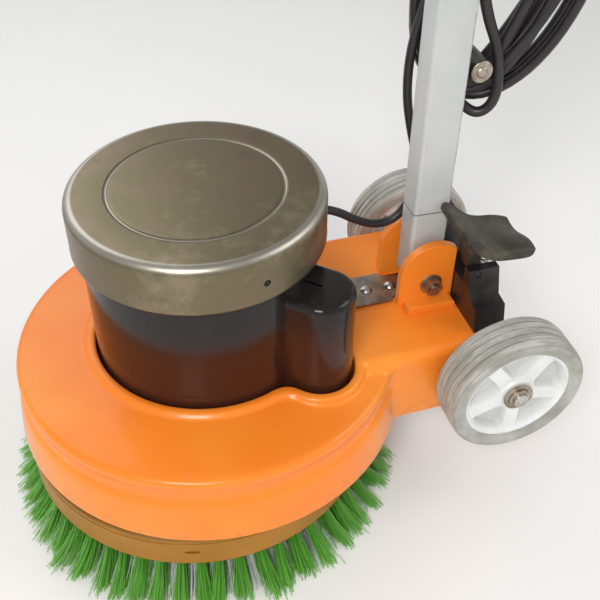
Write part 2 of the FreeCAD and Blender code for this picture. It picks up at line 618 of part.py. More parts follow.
def head_parts():
    """Switch box across the top of the tube, with its grips, triggers and safety button."""
    z0, z1 = HEAD_Z
    split_y = PIVOT_Y
    shell = soft_block(-75, 75, PIVOT_Y - 42, PIVOT_Y + 42, z0, z1, 14, Y)
    shell = shell.makeFillet(5, [e for e in shell.Edges if abs(e.BoundBox.YMin - e.BoundBox.YMax) < 1e-6])
    inside = soft_block(-71, 71, PIVOT_Y - 38, PIVOT_Y + 38, z0 + 4, z1 - 4, 10, Y)
    socket = block(-TUBE_W / 2, TUBE_W / 2, PIVOT_Y - TUBE_D / 2, PIVOT_Y + TUBE_D / 2, z0 - 5, TUBE_TOP)
    bar = rod(BAR_R, -BAR_HALF, BAR_HALF, PIVOT_Y, BAR_Z)
    slots = [block(s * 68 - 8, s * 68 + 8, PIVOT_Y - 8, PIVOT_Y + 8, 990, 1022) for s in (-1, 1)]
    shell = shell.cut(inside).cut(socket).cut(bar).cut(Part.makeCompound(slots))
    button_hole = cyl(9 + 0.3, z1 - 10, z1 + 5, 0, PIVOT_Y - 24)
    cord_hole = Part.makeCylinder(8, 20, V(30, PIVOT_Y + 30, z0 + 28), Y)
    lead_hole = cyl(6, z0 - 5, z0 + 8, -30, PIVOT_Y - 10)
    shell = shell.cut(button_hole).cut(cord_hole).cut(lead_hole)
    front = shell.common(block(-100, 100, split_y - 100, split_y, z0 - 5, z1 + 5))
    rear = shell.common(block(-100, 100, split_y, split_y + 100, z0 - 5, z1 + 5))
    save("switch_box_front", front)
    pins = [Part.makeCylinder(2.5, 76.2, V(s * 64, PIVOT_Y - 38, 1005), Y) for s in (-1, 1)]
    save("switch_box_rear", fuse([rear] + pins))

    hollow_bar = bar.cut(rod(BAR_R - 2, -BAR_HALF - 1, BAR_HALF + 1, PIVOT_Y, BAR_Z))
    save("grip_bar", hollow_bar)
    grips = []
    for side in (-1, 1):
        start, end = sorted((side * 90, side * (BAR_HALF + 4)))
        sleeve = rod(BAR_R + 5, start, end, PIVOT_Y, BAR_Z)
        rims = [e for e in sleeve.Edges if isinstance(e.Curve, Part.Circle)]
        sleeve = sleeve.makeFillet(3.5, rims)
        grips.append(sleeve.cut(rod(BAR_R, -BAR_HALF, BAR_HALF, PIVOT_Y, BAR_Z)))
    save("hand_grips", *grips)

    for side, name in ((-1, "left"), (1, "right")):
        lever = [(56, 1012), (80, 1012), (92, 1006), (178, 1003), (186, 1008), (188, 1003), (180, 994),
                 (90, 995), (76, 998), (56, 998)]
        face = polygon([V(side * x, PIVOT_Y - 6, z) for x, z in lever])
        pin_hole = Part.makeCylinder(2.5 + RUN, 30, V(side * 64, PIVOT_Y - 15, 1005), Y)
        save("trigger_" + name, face.extrude(Y * 12).cut(pin_hole))
    switch_top = 1056
    button_y = PIVOT_Y - 24
    save("switch_unit", block(-26, 26, PIVOT_Y - 38, PIVOT_Y - 13, 1034, switch_top),
         block(-40, 40, PIVOT_Y + 22, PIVOT_Y + 38, 1000, 1022))
    under_lid = z1 - 4.3
    under_flange = under_lid - 3.5
    stem = cyl(3, switch_top + 5, under_lid, 0, button_y)
    flange = cyl(11.5, under_flange, under_lid, 0, button_y)
    save("lock_button", fuse([cyl(9, under_flange, z1 + 7, 0, button_y), flange, stem]))
    save("button_spring", helix_spring(0.7, 7.0, 5, V(0, button_y, switch_top + 0.8), Z, 19.6))

    gland = fuse([Part.makeCylinder(8, 6, V(30, PIVOT_Y + 38, z0 + 28), Y),
                  Part.makeCylinder(11, 6, V(30, PIVOT_Y + 42, z0 + 28), Y),
                  Part.makeCone(9, 7, 26, V(30, PIVOT_Y + 48, z0 + 28), Y)])
    save("cord_gland", gland.cut(Part.makeCylinder(CORD_D / 2, 80, V(30, PIVOT_Y + 30, z0 + 28), Y)))


# ---- cords ----
def slanted(s, z):
    """Point of the hank's upright plane: s runs from beside the tube to behind it."""
    length = math.hypot(*HANK_RUN)
    return V(-45 + s * HANK_RUN[0] / length, PIVOT_Y - 1 + s * HANK_RUN[1] / length, z)


def hank_outline():
    """Outside of the wound hank, hung on both hooks."""
    shoulder = slanted(146, 800)
    hip = slanted(142, 500)
    return [
        Part.LineSegment(slanted(-18, 465), slanted(-18, 875)),
        Part.Arc(slanted(-18, 875), slanted(58, 938), shoulder),
        Part.Arc(shoulder, slanted(168, 650), hip),
        Part.Arc(hip, slanted(60, 416), slanted(-18, 465)),
    ]


def hank_opening():
    """Inside of the wound hank, where its rear run is twice as wide as at the hooks."""
    low_corner = slanted(16, 465)
    high_corner = slanted(16, 875)
    shoulder = slanted(84, 790)
    hip = slanted(80, 535)
    return [
        Part.LineSegment(low_corner, high_corner),
        Part.Arc(high_corner, slanted(52, 902), shoulder),
        Part.Arc(shoulder, slanted(112, 660), hip),
        Part.Arc(hip, slanted(46, 452), low_corner),
    ]


def hank_parts():
    length = math.hypot(*HANK_RUN)
    normal = V(HANK_RUN[1] / length, -HANK_RUN[0] / length, 0)
    outer, inner = [Part.Face(Part.Wire([edge.toShape() for edge in outline]))
                    for outline in (hank_outline(), hank_opening())]
    hank = outer.cut(inner).extrude(normal * 42)
    hank.translate(normal * -26)
    save("cord_hank", hank)

    route = [V(30, PIVOT_Y + 38, HEAD_Z[0] + 28), V(30, 372, 996), V(28, 428, 976), V(22, 456, 928),
             V(16, 450, 868), V(15, 425, 815), V(15, 394, 770)]
    save("mains_cord", cord_tube(route, CORD_D, "mains_cord"))

    at = slanted(138, 0) + normal * 34.4
    body = cyl(18, 645, 690, at.x, at.y)
    rims = [e for e in body.Edges if isinstance(e.Curve, Part.Circle)]
    relief = Part.makeCone(9, 6.5, 26, V(at.x, at.y, 689), Z)
    plug = fuse([body.makeFillet(3, rims), relief])
    save("mains_plug", plug)
    save("plug_pins", *[cyl(2.4, 626, 645, at.x + dx, at.y) for dx in PIN_X])
    print("plug pins at", round(at.x, 2), round(at.y, 2))


def lead_parts():
    """Motor lead: a slack length over the hinge, then a length held along the tube."""
    slack = [V(-20, 134, 320), V(-20, 160, 319), V(-20, 186, 296), V(-21, 214, 280), V(-22, 241, 284),
             V(-22, 256, 302), V(-22, 259, 345)]
    save("motor_lead_slack", cord_tube(slack, LEAD_D, "motor_lead_slack"))
    held = [V(-22, 259, 346.5), V(-26, 251, 388), V(-30, 241, 428), V(-30, 240, 462), V(-29, 242, 496),
            V(-26, 250, 536), V(-23, 256, 580), V(-22, 259, 640), V(-22, 260, 720), V(-22, 259.5, 800),
            V(-23, 259, 880), V(-28, 256, 930), V(-30, 253, 975)]
    save("motor_lead", cord_tube(held, LEAD_D, "motor_lead"))


brush_parts()
gearbox_parts()
motor_parts()
deck_parts()
hinge_parts()
cover_parts()
pedal_parts()
wheel_parts()
handle_parts()
head_parts()
hank_parts()
lead_parts()
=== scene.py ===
"""Looks of a single-disc floor machine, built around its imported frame.

Shapes are worked out in millimetres in the frame's own axes (+Z up, -Y towards the disc's front) and
written to meshes in metres. Each sub-assembly is a class, and each finish is a class too.
"""
from __future__ import annotations

import json
import logging
import math
from dataclasses import dataclass, field
from enum import Enum
from typing import Any, Iterable, Sequence

import bmesh
import bpy
import numpy as np
from mathutils import Matrix, Vector

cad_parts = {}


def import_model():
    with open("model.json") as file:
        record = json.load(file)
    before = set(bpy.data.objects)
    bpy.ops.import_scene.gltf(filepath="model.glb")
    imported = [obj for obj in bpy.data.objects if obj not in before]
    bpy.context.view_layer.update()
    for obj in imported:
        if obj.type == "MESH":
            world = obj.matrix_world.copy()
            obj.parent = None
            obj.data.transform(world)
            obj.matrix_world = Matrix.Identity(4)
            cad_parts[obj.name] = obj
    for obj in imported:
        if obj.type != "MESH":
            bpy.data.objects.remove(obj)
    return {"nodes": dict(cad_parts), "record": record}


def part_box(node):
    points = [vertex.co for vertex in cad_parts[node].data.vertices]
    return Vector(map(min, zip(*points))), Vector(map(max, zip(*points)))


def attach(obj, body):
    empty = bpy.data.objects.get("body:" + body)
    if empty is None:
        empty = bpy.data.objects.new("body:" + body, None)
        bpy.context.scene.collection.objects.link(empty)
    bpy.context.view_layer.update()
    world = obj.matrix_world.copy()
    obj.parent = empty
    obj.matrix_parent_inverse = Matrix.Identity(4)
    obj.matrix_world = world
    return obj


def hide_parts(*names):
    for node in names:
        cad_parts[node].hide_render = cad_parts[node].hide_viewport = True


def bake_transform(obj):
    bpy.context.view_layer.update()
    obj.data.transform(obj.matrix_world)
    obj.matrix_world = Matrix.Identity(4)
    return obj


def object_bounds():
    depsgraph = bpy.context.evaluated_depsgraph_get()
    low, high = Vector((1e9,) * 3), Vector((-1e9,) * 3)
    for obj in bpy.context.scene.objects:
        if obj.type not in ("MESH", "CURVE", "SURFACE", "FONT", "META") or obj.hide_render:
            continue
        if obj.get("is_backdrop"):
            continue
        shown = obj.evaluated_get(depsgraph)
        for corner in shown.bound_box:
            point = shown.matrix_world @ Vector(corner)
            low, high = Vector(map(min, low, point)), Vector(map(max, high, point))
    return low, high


MM = 0.001
LOG = logging.getLogger("floor_machine")
Colour = tuple[float, float, float]
Plane = tuple[float, float]


class Axis(Enum):
    """Direction that a turned profile goes round."""

    UPRIGHT = "z"
    ACROSS = "x"


# ------------------------------------------------------------------ geometry helpers
def node_box(name: str) -> tuple[np.ndarray, np.ndarray]:
    """Gives a node's lowest and highest corners.

    Args:
        name: the node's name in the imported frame.

    Returns:
        The two corners, in millimetres.
    """
    low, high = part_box(name)
    return np.array(low) / MM, np.array(high) / MM


def rounded(points: Sequence[Plane], rounds: int = 3, closed: bool = False) -> np.ndarray:
    """Rounds a polyline's corners by cutting each one at a quarter and three quarters of its runs.

    Args:
        points: corners of the line.
        rounds: how many times the corners are cut.
        closed: whether the last point joins the first.

    Returns:
        The rounded line, which keeps its own ends when it is open.
    """
    line = np.asarray(points, float)
    for _ in range(rounds):
        after = np.roll(line, -1, 0) if closed else line[1:]
        before = line if closed else line[:-1]
        cut = np.stack([0.75 * before + 0.25 * after, 0.25 * before + 0.75 * after], 1)
        cut = cut.reshape(-1, line.shape[1])
        line = cut if closed else np.concatenate([line[:1], cut, line[-1:]])
    return line


def evenly(line: np.ndarray, count: int) -> np.ndarray:
    """Points spaced evenly by length along a polyline.

    Args:
        line: the polyline's points.
        count: how many points to give.

    Returns:
        The new points, with both ends kept.
    """
    steps = np.linalg.norm(np.diff(line, axis=0), axis=1)
    run = np.concatenate([[0.0], np.cumsum(steps)])
    wanted = np.linspace(0.0, run[-1], count)
    return np.stack([np.interp(wanted, run, line[:, k]) for k in range(line.shape[1])], 1)


def rounded_rectangle(half_x: float, half_y: float, radius: float, per_corner: int = 10) -> np.ndarray:
    """Closed outline of a rectangle whose corners are quarter circles.

    Args:
        half_x: half its size along the first axis.
        half_y: half its size along the second axis.
        radius: corner radius.
        per_corner: points on each corner.

    Returns:
        The outline, anticlockwise from the corner in the first quadrant.
    """
    turn = np.linspace(0.0, math.pi / 2, per_corner)
    corners = []
    for k, (sx, sy) in enumerate(((1, 1), (-1, 1), (-1, -1), (1, -1))):
        angle = turn + k * math.pi / 2
        centre = np.array([sx * (half_x - radius), sy * (half_y - radius)])
        corners.append(centre + radius * np.stack([np.cos(angle), np.sin(angle)], 1))
    return np.concatenate(corners)


def smooth_least(a: np.ndarray, b: np.ndarray, width: float) -> np.ndarray:
    """The lesser of two distances, with a fillet of about this width where they cross."""
    near = np.maximum(width - np.abs(a - b), 0.0) / width
    return np.minimum(a, b) - near * near * width / 4


def polygon_distance(x: np.ndarray, y: np.ndarray, corners: np.ndarray) -> np.ndarray:
    """Signed distance to a closed polygon, negative inside.

    The distance is the least over its edges; the sign flips at each edge that a level ray crosses.

    Args:
        x: first coordinates of the points.
        y: second coordinates of the points.
        corners: the polygon's corners.

    Returns:
        The distances, in the shape of x.
    """
    best = np.full(x.shape, np.inf)
    inside = np.zeros(x.shape, bool)
    for a, b in zip(corners, np.roll(corners, -1, 0)):
        edge = b - a
        share = ((x - a[0]) * edge[0] + (y - a[1]) * edge[1]) / max(edge @ edge, 1e-12)
        share = np.clip(share, 0.0, 1.0)
        gap = (x - a[0] - share * edge[0]) ** 2 + (y - a[1] - share * edge[1]) ** 2
        best = np.minimum(best, gap)
        if a[1] != b[1]:
            crosses = (a[1] > y) != (b[1] > y)
            inside ^= crosses & (x < a[0] + edge[0] * (y - a[1]) / edge[1])
    return np.where(inside, -1.0, 1.0) * np.sqrt(best)


class Skin:
    """Gathers grids of points, in millimetres, and turns them into one mesh."""

    def __init__(self) -> None:
        """Starts with nothing."""
        self.points: list[np.ndarray] = []
        self.faces: list[np.ndarray] = []
        self.values: list[np.ndarray] = []
        self.count = 0

    def grid(self, points: np.ndarray, wrap_u: bool = False, wrap_v: bool = False,
             value: np.ndarray | None = None) -> "Skin":
        """Adds a sheet of four-sided faces.

        Args:
            points: array (u, v, 3).
            wrap_u: whether the last row joins the first.
            wrap_v: whether the last column joins the first.
            value: one number a point, kept as an attribute.

        Returns:
            This skin.
        """
        nu, nv = points.shape[:2]
        index = np.arange(nu * nv).reshape(nu, nv) + self.count
        rows = np.concatenate([index, index[:1]]) if wrap_u else index
        rows = np.concatenate([rows, rows[:, :1]], 1) if wrap_v else rows
        quads = np.stack([rows[:-1, :-1], rows[1:, :-1], rows[1:, 1:], rows[:-1, 1:]], -1)
        self.faces.append(quads.reshape(-1, 4))
        self.points.append(points.reshape(-1, 3))
        self.values.append(np.zeros(nu * nv) if value is None else np.asarray(value, float).ravel())
        self.count += nu * nv
        return self

    def turned(self, profile: np.ndarray, centre: Sequence[float], axis: Axis = Axis.UPRIGHT,
               segments: int = 128) -> "Skin":
        """Adds a surface of revolution: each profile point (radius, height) goes round the axis.

        Args:
            profile: array (n, 2) of radius and height along the axis.
            centre: a point on the axis; heights are counted from the origin of the frame's axis.
            axis: direction of the axis.
            segments: steps round it.

        Returns:
            This skin.
        """
        angle = np.linspace(0.0, 2 * math.pi, segments, endpoint=False)[:, None]
        radius, height = profile[None, :, 0], profile[None, :, 1]
        first, second = radius * np.cos(angle), radius * np.sin(angle)
        level = np.broadcast_to(height, first.shape)
        if axis is Axis.UPRIGHT:
            return self.grid(np.stack([first + centre[0], second + centre[1], level], -1), wrap_u=True)
        return self.grid(np.stack([level, first + centre[1], second + centre[2]], -1), wrap_u=True)

    def build(self, name: str, sharp_deg: float = 40.0, outward: bool = True,
              attribute: str | None = None) -> bpy.types.Object:
        """Makes the object, with its doubles merged and its faces turned outwards.

        Args:
            name: the object's name.
            sharp_deg: edges that turn more than this stay sharp.
            outward: whether to work out which way the faces point.
            attribute: name under which the values are kept.

        Returns:
            The new object, at the origin.
        """
        points = np.concatenate(self.points) * MM
        faces = np.concatenate(self.faces)
        mesh = bpy.data.meshes.new(name)
        mesh.vertices.add(len(points))
        mesh.vertices.foreach_set("co", points.astype(np.float32).ravel())
        mesh.loops.add(faces.size)
        mesh.loops.foreach_set("vertex_index", faces.astype(np.int32).ravel())
        mesh.polygons.add(len(faces))
        mesh.polygons.foreach_set("loop_start", np.arange(0, faces.size, 4, dtype=np.int32))
        mesh.update(calc_edges=True)
        if attribute:
            kept = mesh.attributes.new(attribute, "FLOAT", "POINT")
            kept.data.foreach_set("value", np.concatenate(self.values).astype(np.float32))
        tidy_mesh(mesh, outward)
        return finished(name, mesh, sharp_deg)


def tidy_mesh(mesh: bpy.types.Mesh, outward: bool = True, flat_deg: float | None = None) -> None:
    """Merges doubles, drops empty faces and turns the faces outwards.

    Args:
        mesh: the mesh to change.
        outward: whether to work out which way the faces point.
        flat_deg: neighbours that turn less than this become one face.
    """
    work = bmesh.new()
    work.from_mesh(mesh)
    bmesh.ops.remove_doubles(work, verts=work.verts, dist=2e-6)
    bmesh.ops.dissolve_degenerate(work, edges=work.edges, dist=1e-6)
    if flat_deg is not None:
        bmesh.ops.dissolve_limit(work, angle_limit=math.radians(flat_deg), verts=work.verts,
                                 edges=work.edges)
    if outward:
        bmesh.ops.recalc_face_normals(work, faces=work.faces)
    work.to_mesh(mesh)
    work.free()


def finished(name: str, mesh: bpy.types.Mesh, sharp_deg: float) -> bpy.types.Object:
    """Links a mesh as an object, smooth but for its sharp edges."""
    mesh.polygons.foreach_set("use_smooth", np.ones(len(mesh.polygons), bool))
    mesh.set_sharp_from_angle(angle=math.radians(sharp_deg))
    made = bpy.data.objects.new(name, mesh)
    bpy.context.scene.collection.objects.link(made)
    return made


def bake_modifiers(piece: bpy.types.Object) -> None:
    """Puts a piece's modifiers into its mesh."""
    bpy.context.view_layer.update()
    graph = bpy.context.evaluated_depsgraph_get()
    mesh = bpy.data.meshes.new_from_object(piece.evaluated_get(graph))
    piece.modifiers.clear()
    piece.data = mesh


def softened(node: bpy.types.Object, width: float, name: str | None = None, segments: int = 2,
             angle_deg: float = 28.0) -> bpy.types.Object:
    """Copies a node with its triangles merged and its sharp edges rounded.

    Args:
        node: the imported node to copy.
        width: width of the rounding, in millimetres.
        name: the new piece's name; the node's own with a suffix if left out.
        segments: faces across each rounding.
        angle_deg: edges that turn more than this are rounded.

    Returns:
        The new piece.
    """
    mesh = node.data.copy()
    mesh.materials.clear()
    tidy_mesh(mesh, outward=False, flat_deg=0.6)
    piece = finished(name or node.name + "_made", mesh, 30.0)
    bevel = piece.modifiers.new("edges", "BEVEL")
    bevel.width = width * MM
    bevel.segments = segments
    bevel.limit_method = "ANGLE"
    bevel.angle_limit = math.radians(angle_deg)
    bevel.harden_normals = True
    bevel.use_clamp_overlap = True
    bake_modifiers(piece)
    return piece


# ------------------------------------------------------------------ shader helpers
class Signal:
    """An output socket that adds Math nodes when it is used in an expression."""

    def __init__(self, bench: "Bench", socket: bpy.types.NodeSocket) -> None:
        """Keeps the socket and the material that it belongs to."""
        self.bench = bench
        self.socket = socket

    def __add__(self, other: Any) -> "Signal":
        """Sum."""
        return self.bench.math("ADD", self, other)

    def __sub__(self, other: Any) -> "Signal":
        """Difference."""
        return self.bench.math("SUBTRACT", self, other)

    def __rsub__(self, other: Any) -> "Signal":
        """Difference, from a number."""
        return self.bench.math("SUBTRACT", other, self)

    def __mul__(self, other: Any) -> "Signal":
        """Product."""
        return self.bench.math("MULTIPLY", self, other)

    def __truediv__(self, other: Any) -> "Signal":
        """Quotient."""
        return self.bench.math("DIVIDE", self, other)

    def __pow__(self, other: Any) -> "Signal":
        """Power."""
        return self.bench.math("POWER", self, other)

    def __abs__(self) -> "Signal":
        """Size without its sign."""
        return self.bench.math("ABSOLUTE", self, 0.0)

    __radd__ = __add__
    __rmul__ = __mul__

    def between(self, low: float, high: float) -> "Signal":
        """Smooth step: 0 at low, 1 at high; low may be the greater."""
        return self.bench.node("ShaderNodeMapRange", {"interpolation_type": "SMOOTHSTEP", "clamp": True},
                               {"Value": self, "From Min": low, "From Max": high})


class Bench:
    """Builds one material's nodes."""

    def __init__(self, name: str) -> None:
        """Starts an empty material."""
        self.material = bpy.data.materials.new(name)
        self.material.use_nodes = True
        self.tree = self.material.node_tree
        self.tree.nodes.clear()

    def node(self, kind: str, settings: dict[str, Any] | None = None,
             inputs: dict[Any, Any] | None = None, output: int | str = 0) -> Signal:
        """Adds a node.

        Args:
            kind: Blender's name of the node's type.
            settings: its properties; "stops" holds a ramp's positions and colours.
            inputs: values or signals by socket name or number.
            output: which output to give back.

        Returns:
            The output as a signal.
        """
        made = self.tree.nodes.new(kind)
        for key, value in (settings or {}).items():
            if key == "stops":
                self._set_stops(made, value)
            else:
                setattr(made, key, value)
        for key, value in (inputs or {}).items():
            socket = made.inputs[key]
            if isinstance(value, Signal):
                self.tree.links.new(value.socket, socket)
            else:
                socket.default_value = value
        return Signal(self, made.outputs[output])

    @staticmethod
    def _set_stops(ramp: bpy.types.Node, stops: Sequence[tuple[float, Colour]]) -> None:
        """Gives a colour ramp its stops."""
        elements = ramp.color_ramp.elements
        while len(elements) < len(stops):
            elements.new(1.0)
        for element, (place, colour) in zip(elements, stops):
            element.position = place
            element.color = (*colour, 1.0)

    def math(self, operation: str, a: Any, b: Any) -> Signal:
        """One Math node."""
        return self.node("ShaderNodeMath", {"operation": operation}, {0: a, 1: b})

    def place(self) -> Signal:
        """Object coordinates, in metres."""
        return self.node("ShaderNodeTexCoord", output="Object")

    def part(self, letter: str) -> Signal:
        """One object coordinate, in metres."""
        return self.node("ShaderNodeSeparateXYZ", inputs={0: self.place()}, output=letter)

    def moved(self, scale: Sequence[float] = (1, 1, 1), shift: Sequence[float] = (0, 0, 0)) -> Signal:
        """Object coordinates, stretched and shifted."""
        return self.node("ShaderNodeMapping", inputs={"Vector": self.place(), "Scale": scale,
                                                      "Location": shift})

    def noise(self, scale: float, detail: float = 3.0, rough: float = 0.55,
              stretch: Sequence[float] = (1, 1, 1), shift: Sequence[float] = (0, 0, 0)) -> Signal:
        """Cloudy noise from 0 to 1, about 1/scale metres across."""
        return self.node("ShaderNodeTexNoise", inputs={"Vector": self.moved(stretch, shift), "Scale": scale,
                                                       "Detail": detail, "Roughness": rough})

    def mix(self, share: Any, a: Any, b: Any) -> Signal:
        """Colour between a and b."""
        colours = [c if isinstance(c, Signal) else (*c, 1.0) for c in (a, b)]
        return self.node("ShaderNodeMix", {"data_type": "RGBA"}, {0: share, 6: colours[0], 7: colours[1]},
                         output=2)

    def ramp(self, share: Signal, stops: Sequence[tuple[float, Colour]]) -> Signal:
        """Colour ramp."""
        return self.node("ShaderNodeValToRGB", {"stops": stops}, {"Fac": share})

    def bump(self, height: Signal, depth_mm: float) -> Signal:
        """Normal from a height between 0 and 1."""
        return self.node("ShaderNodeBump", inputs={"Height": height, "Distance": depth_mm * MM,
                                                   "Strength": 1.0})

    def surface(self, **sockets: Any) -> bpy.types.Material:
        """Ends the material in a Principled shader.

        Args:
            **sockets: its inputs, with underscores for spaces.

        Returns:
            The material.
        """
        named = {key.replace("_", " "): value for key, value in sockets.items()}
        shader = self.node("ShaderNodeBsdfPrincipled", inputs={
            key: (*value, 1.0) if isinstance(value, tuple) and len(value) == 3 else value
            for key, value in named.items()})
        self.node_output(shader)
        return self.material

    def node_output(self, shader: Signal) -> None:
        """Links a shader to the material's surface."""
        made = self.tree.nodes.new("ShaderNodeOutputMaterial")
        self.tree.links.new(shader.socket, made.inputs["Surface"])


# ------------------------------------------------------------------ finishes
class Finish:
    """A finish that can be put on pieces; its material is built once."""

    def __init__(self) -> None:
        """Starts with no material."""
        self.material: bpy.types.Material | None = None

    def paint(self, bench: Bench) -> bpy.types.Material:
        """Builds the material."""
        raise NotImplementedError

    def dress(self, *pieces: bpy.types.Object) -> None:
        """Gives the finish to pieces, in place of what they have."""
        if self.material is None:
            self.material = self.paint(Bench(type(self).__name__))
        for piece in pieces:
            piece.data.materials.clear()
            piece.data.materials.append(self.material)


class OrangeMoulding(Finish):
    """Glossy orange moulded plastic with faint waviness, scuffs and dust."""

    def paint(self, bench: Bench) -> bpy.types.Material:
        """Builds the material."""
        cloud = bench.noise(7.0, 2.0)
        mottle = bench.noise(38.0, 3.0)
        base = bench.mix(cloud.between(0.35, 0.7), (0.93, 0.235, 0.020), (0.95, 0.295, 0.032))
        scuff = bench.noise(60.0, 5.0, 0.7, (1.0, 0.25, 1.0)).between(0.66, 0.80)
        base = bench.mix(scuff * 0.16, base, (0.85, 0.48, 0.24))
        dust = bench.part("Z").between(0.135, 0.113) * bench.noise(90.0, 4.0).between(0.4, 0.7)
        base = bench.mix(dust * 0.35, base, (0.30, 0.16, 0.08))
        rough = 0.24 + mottle * 0.10 + scuff * 0.18
        return bench.surface(Base_Color=base, Roughness=rough, IOR=1.38, Coat_Weight=0.15 - scuff * 0.1,
                             Coat_Roughness=0.08, Normal=bench.bump(mottle + cloud, 0.25))


class StoveEnamel(Finish):
    """Gloss black enamel on steel, with the orange hood's reflection painted as a warm tint low down."""

    def paint(self, bench: Bench) -> bpy.types.Material:
        """Builds the material."""
        peel = bench.noise(160.0, 2.0)
        grime = bench.noise(24.0, 5.0, 0.65).between(0.52, 0.8)
        base = bench.mix(grime * 0.5, (0.016, 0.013, 0.013), (0.046, 0.034, 0.028))
        # painted reflection: reddish-brown tint towards the lower end, standing in for the orange hood
        # reflected in the enamel
        hood_reflection = bench.part("Z").between(0.305, 0.255)
        base = bench.mix(hood_reflection * 0.8, base, (0.058, 0.017, 0.009))
        rough = 0.13 + grime * 0.22
        return bench.surface(Base_Color=base, Roughness=rough, IOR=1.34, Normal=bench.bump(peel, 0.06))


class StainedStainless(Finish):
    """Spun stainless sheet, stained brown and dulled, with a painted rim highlight and a brighter ring
    groove.
    """

    def __init__(self, centre: Plane, groove: float, rim: float) -> None:
        """Keeps where the rings lie.

        Args:
            centre: the axis in plan, in millimetres.
            groove: radius of the pressed ring.
            rim: outer radius.
        """
        super().__init__()
        self.centre = centre
        self.groove = groove
        self.rim = rim

    def paint(self, bench: Bench) -> bpy.types.Material:
        """Builds the material."""
        x = bench.part("X") - self.centre[0] * MM
        y = bench.part("Y") - self.centre[1] * MM
        radius = (x * x + y * y) ** 0.5 / MM
        stain = bench.noise(9.0, 5.0, 0.6, shift=(0.3, 0.1, 0))
        fleck = bench.noise(55.0, 6.0, 0.7)
        spun = bench.node("ShaderNodeTexNoise", {"noise_dimensions": "1D"},
                          {"W": radius, "Scale": 1.4, "Detail": 4.0})
        metal = bench.ramp(stain * 0.65 + fleck * 0.35, (
            (0.30, (0.130, 0.102, 0.070)), (0.46, (0.212, 0.165, 0.112)),
            (0.55, (0.186, 0.162, 0.098)), (0.68, (0.300, 0.245, 0.172))))
        # painted highlight: lighter metal along the rolled rim, where light catches its rounded edge
        rim_highlight = 1.0 - abs(radius - (self.rim - 5.0)).between(2.0, 5.0)
        ring = 1.0 - abs(radius - self.groove).between(0.5, 1.6)
        metal = bench.mix(rim_highlight * 0.55 + ring * 0.5, metal, (0.62, 0.60, 0.55))
        rough = 0.24 + stain * 0.16 + fleck * 0.08
        height = spun * 0.5 + fleck * 0.3
        return bench.surface(Base_Color=metal, Metallic=1.0, Roughness=rough,
                             Normal=bench.bump(height, 0.05))


class BareSteel(Finish):
    """Rolled or plated steel with dull patches."""

    def __init__(self, light: Colour, dark: Colour, rust: float = 0.0, rough: float = 0.32) -> None:
        """Keeps the tones.

        Args:
            light: cleanest tone.
            dark: dullest tone.
            rust: share of the surface that is rusty, from 0 to 1.
            rough: roughness where it is cleanest.
        """
        super().__init__()
        self.light = light
        self.dark = dark
        self.rust = rust
        self.rough = rough

    def paint(self, bench: Bench) -> bpy.types.Material:
        """Builds the material."""
        cloud = bench.noise(70.0, 4.0, 0.6)
        metal = bench.mix(cloud.between(0.35, 0.65), self.dark, self.light)
        spots = bench.noise(210.0, 5.0, 0.7).between(0.72 - 0.36 * self.rust, 0.80 - 0.26 * self.rust)
        orange = bench.mix(bench.noise(420.0, 2.0), (0.16, 0.055, 0.02), (0.42, 0.17, 0.06))
        metal = bench.mix(spots * min(1.0, self.rust * 3), metal, orange)
        rough = self.rough + cloud * 0.15 + spots * (0.4 if self.rust else 0.1)
        return bench.surface(Base_Color=metal, Metallic=1.0 - spots * min(1.0, self.rust * 2.4),
                             Roughness=rough, Normal=bench.bump(cloud + spots, 0.08))


class GreyPowderCoat(Finish):
    """Pale grey paint on a square tube, scored once near the hinge and worn brown along its back edges."""

    def __init__(self, scratch_z: float, pivot_z: float, back_y: float) -> None:
        """Keeps where the marks are, in millimetres.

        Args:
            scratch_z: height of the scored line.
            pivot_z: height of the hinge.
            back_y: the tube's rear face.
        """
        super().__init__()
        self.scratch_z = scratch_z
        self.pivot_z = pivot_z
        self.back_y = back_y

    def paint(self, bench: Bench) -> bpy.types.Material:
        """Builds the material."""
        y, z = bench.part("Y") / MM, bench.part("Z") / MM
        cloud = bench.noise(14.0, 4.0)
        paint = bench.mix(cloud.between(0.3, 0.7), (0.475, 0.500, 0.490), (0.545, 0.555, 0.550))
        wobble = bench.noise(45.0, 2.0) * 3.0 - 1.5
        line = 1.0 - abs(z - self.scratch_z - wobble + (y - self.back_y) * 0.03).between(0.35, 1.1)
        line = line * bench.noise(120.0, 3.0).between(0.30, 0.48)
        paint = bench.mix(line * 0.85, paint, (0.075, 0.068, 0.060))
        edge = (y - (self.back_y - 3.4)).between(0.0, 1.0) * bench.noise(60.0, 3.0).between(0.3, 0.6)
        paint = bench.mix(edge * 0.55, paint, (0.22, 0.16, 0.10))
        grime = (self.pivot_z + 60.0 - z).between(0.0, 60.0) * bench.noise(80.0, 4.0).between(0.45, 0.75)
        specks = bench.noise(300.0, 2.0).between(0.74, 0.78)
        paint = bench.mix(grime * 0.4 + specks * 0.3, paint, (0.24, 0.20, 0.16))
        rough = 0.38 + cloud * 0.14 + line * 0.2
        height = bench.noise(500.0, 2.0) * 0.25 - line
        return bench.surface(Base_Color=paint, Roughness=rough, Coat_Weight=0.15,
                             Normal=bench.bump(height, 0.2))


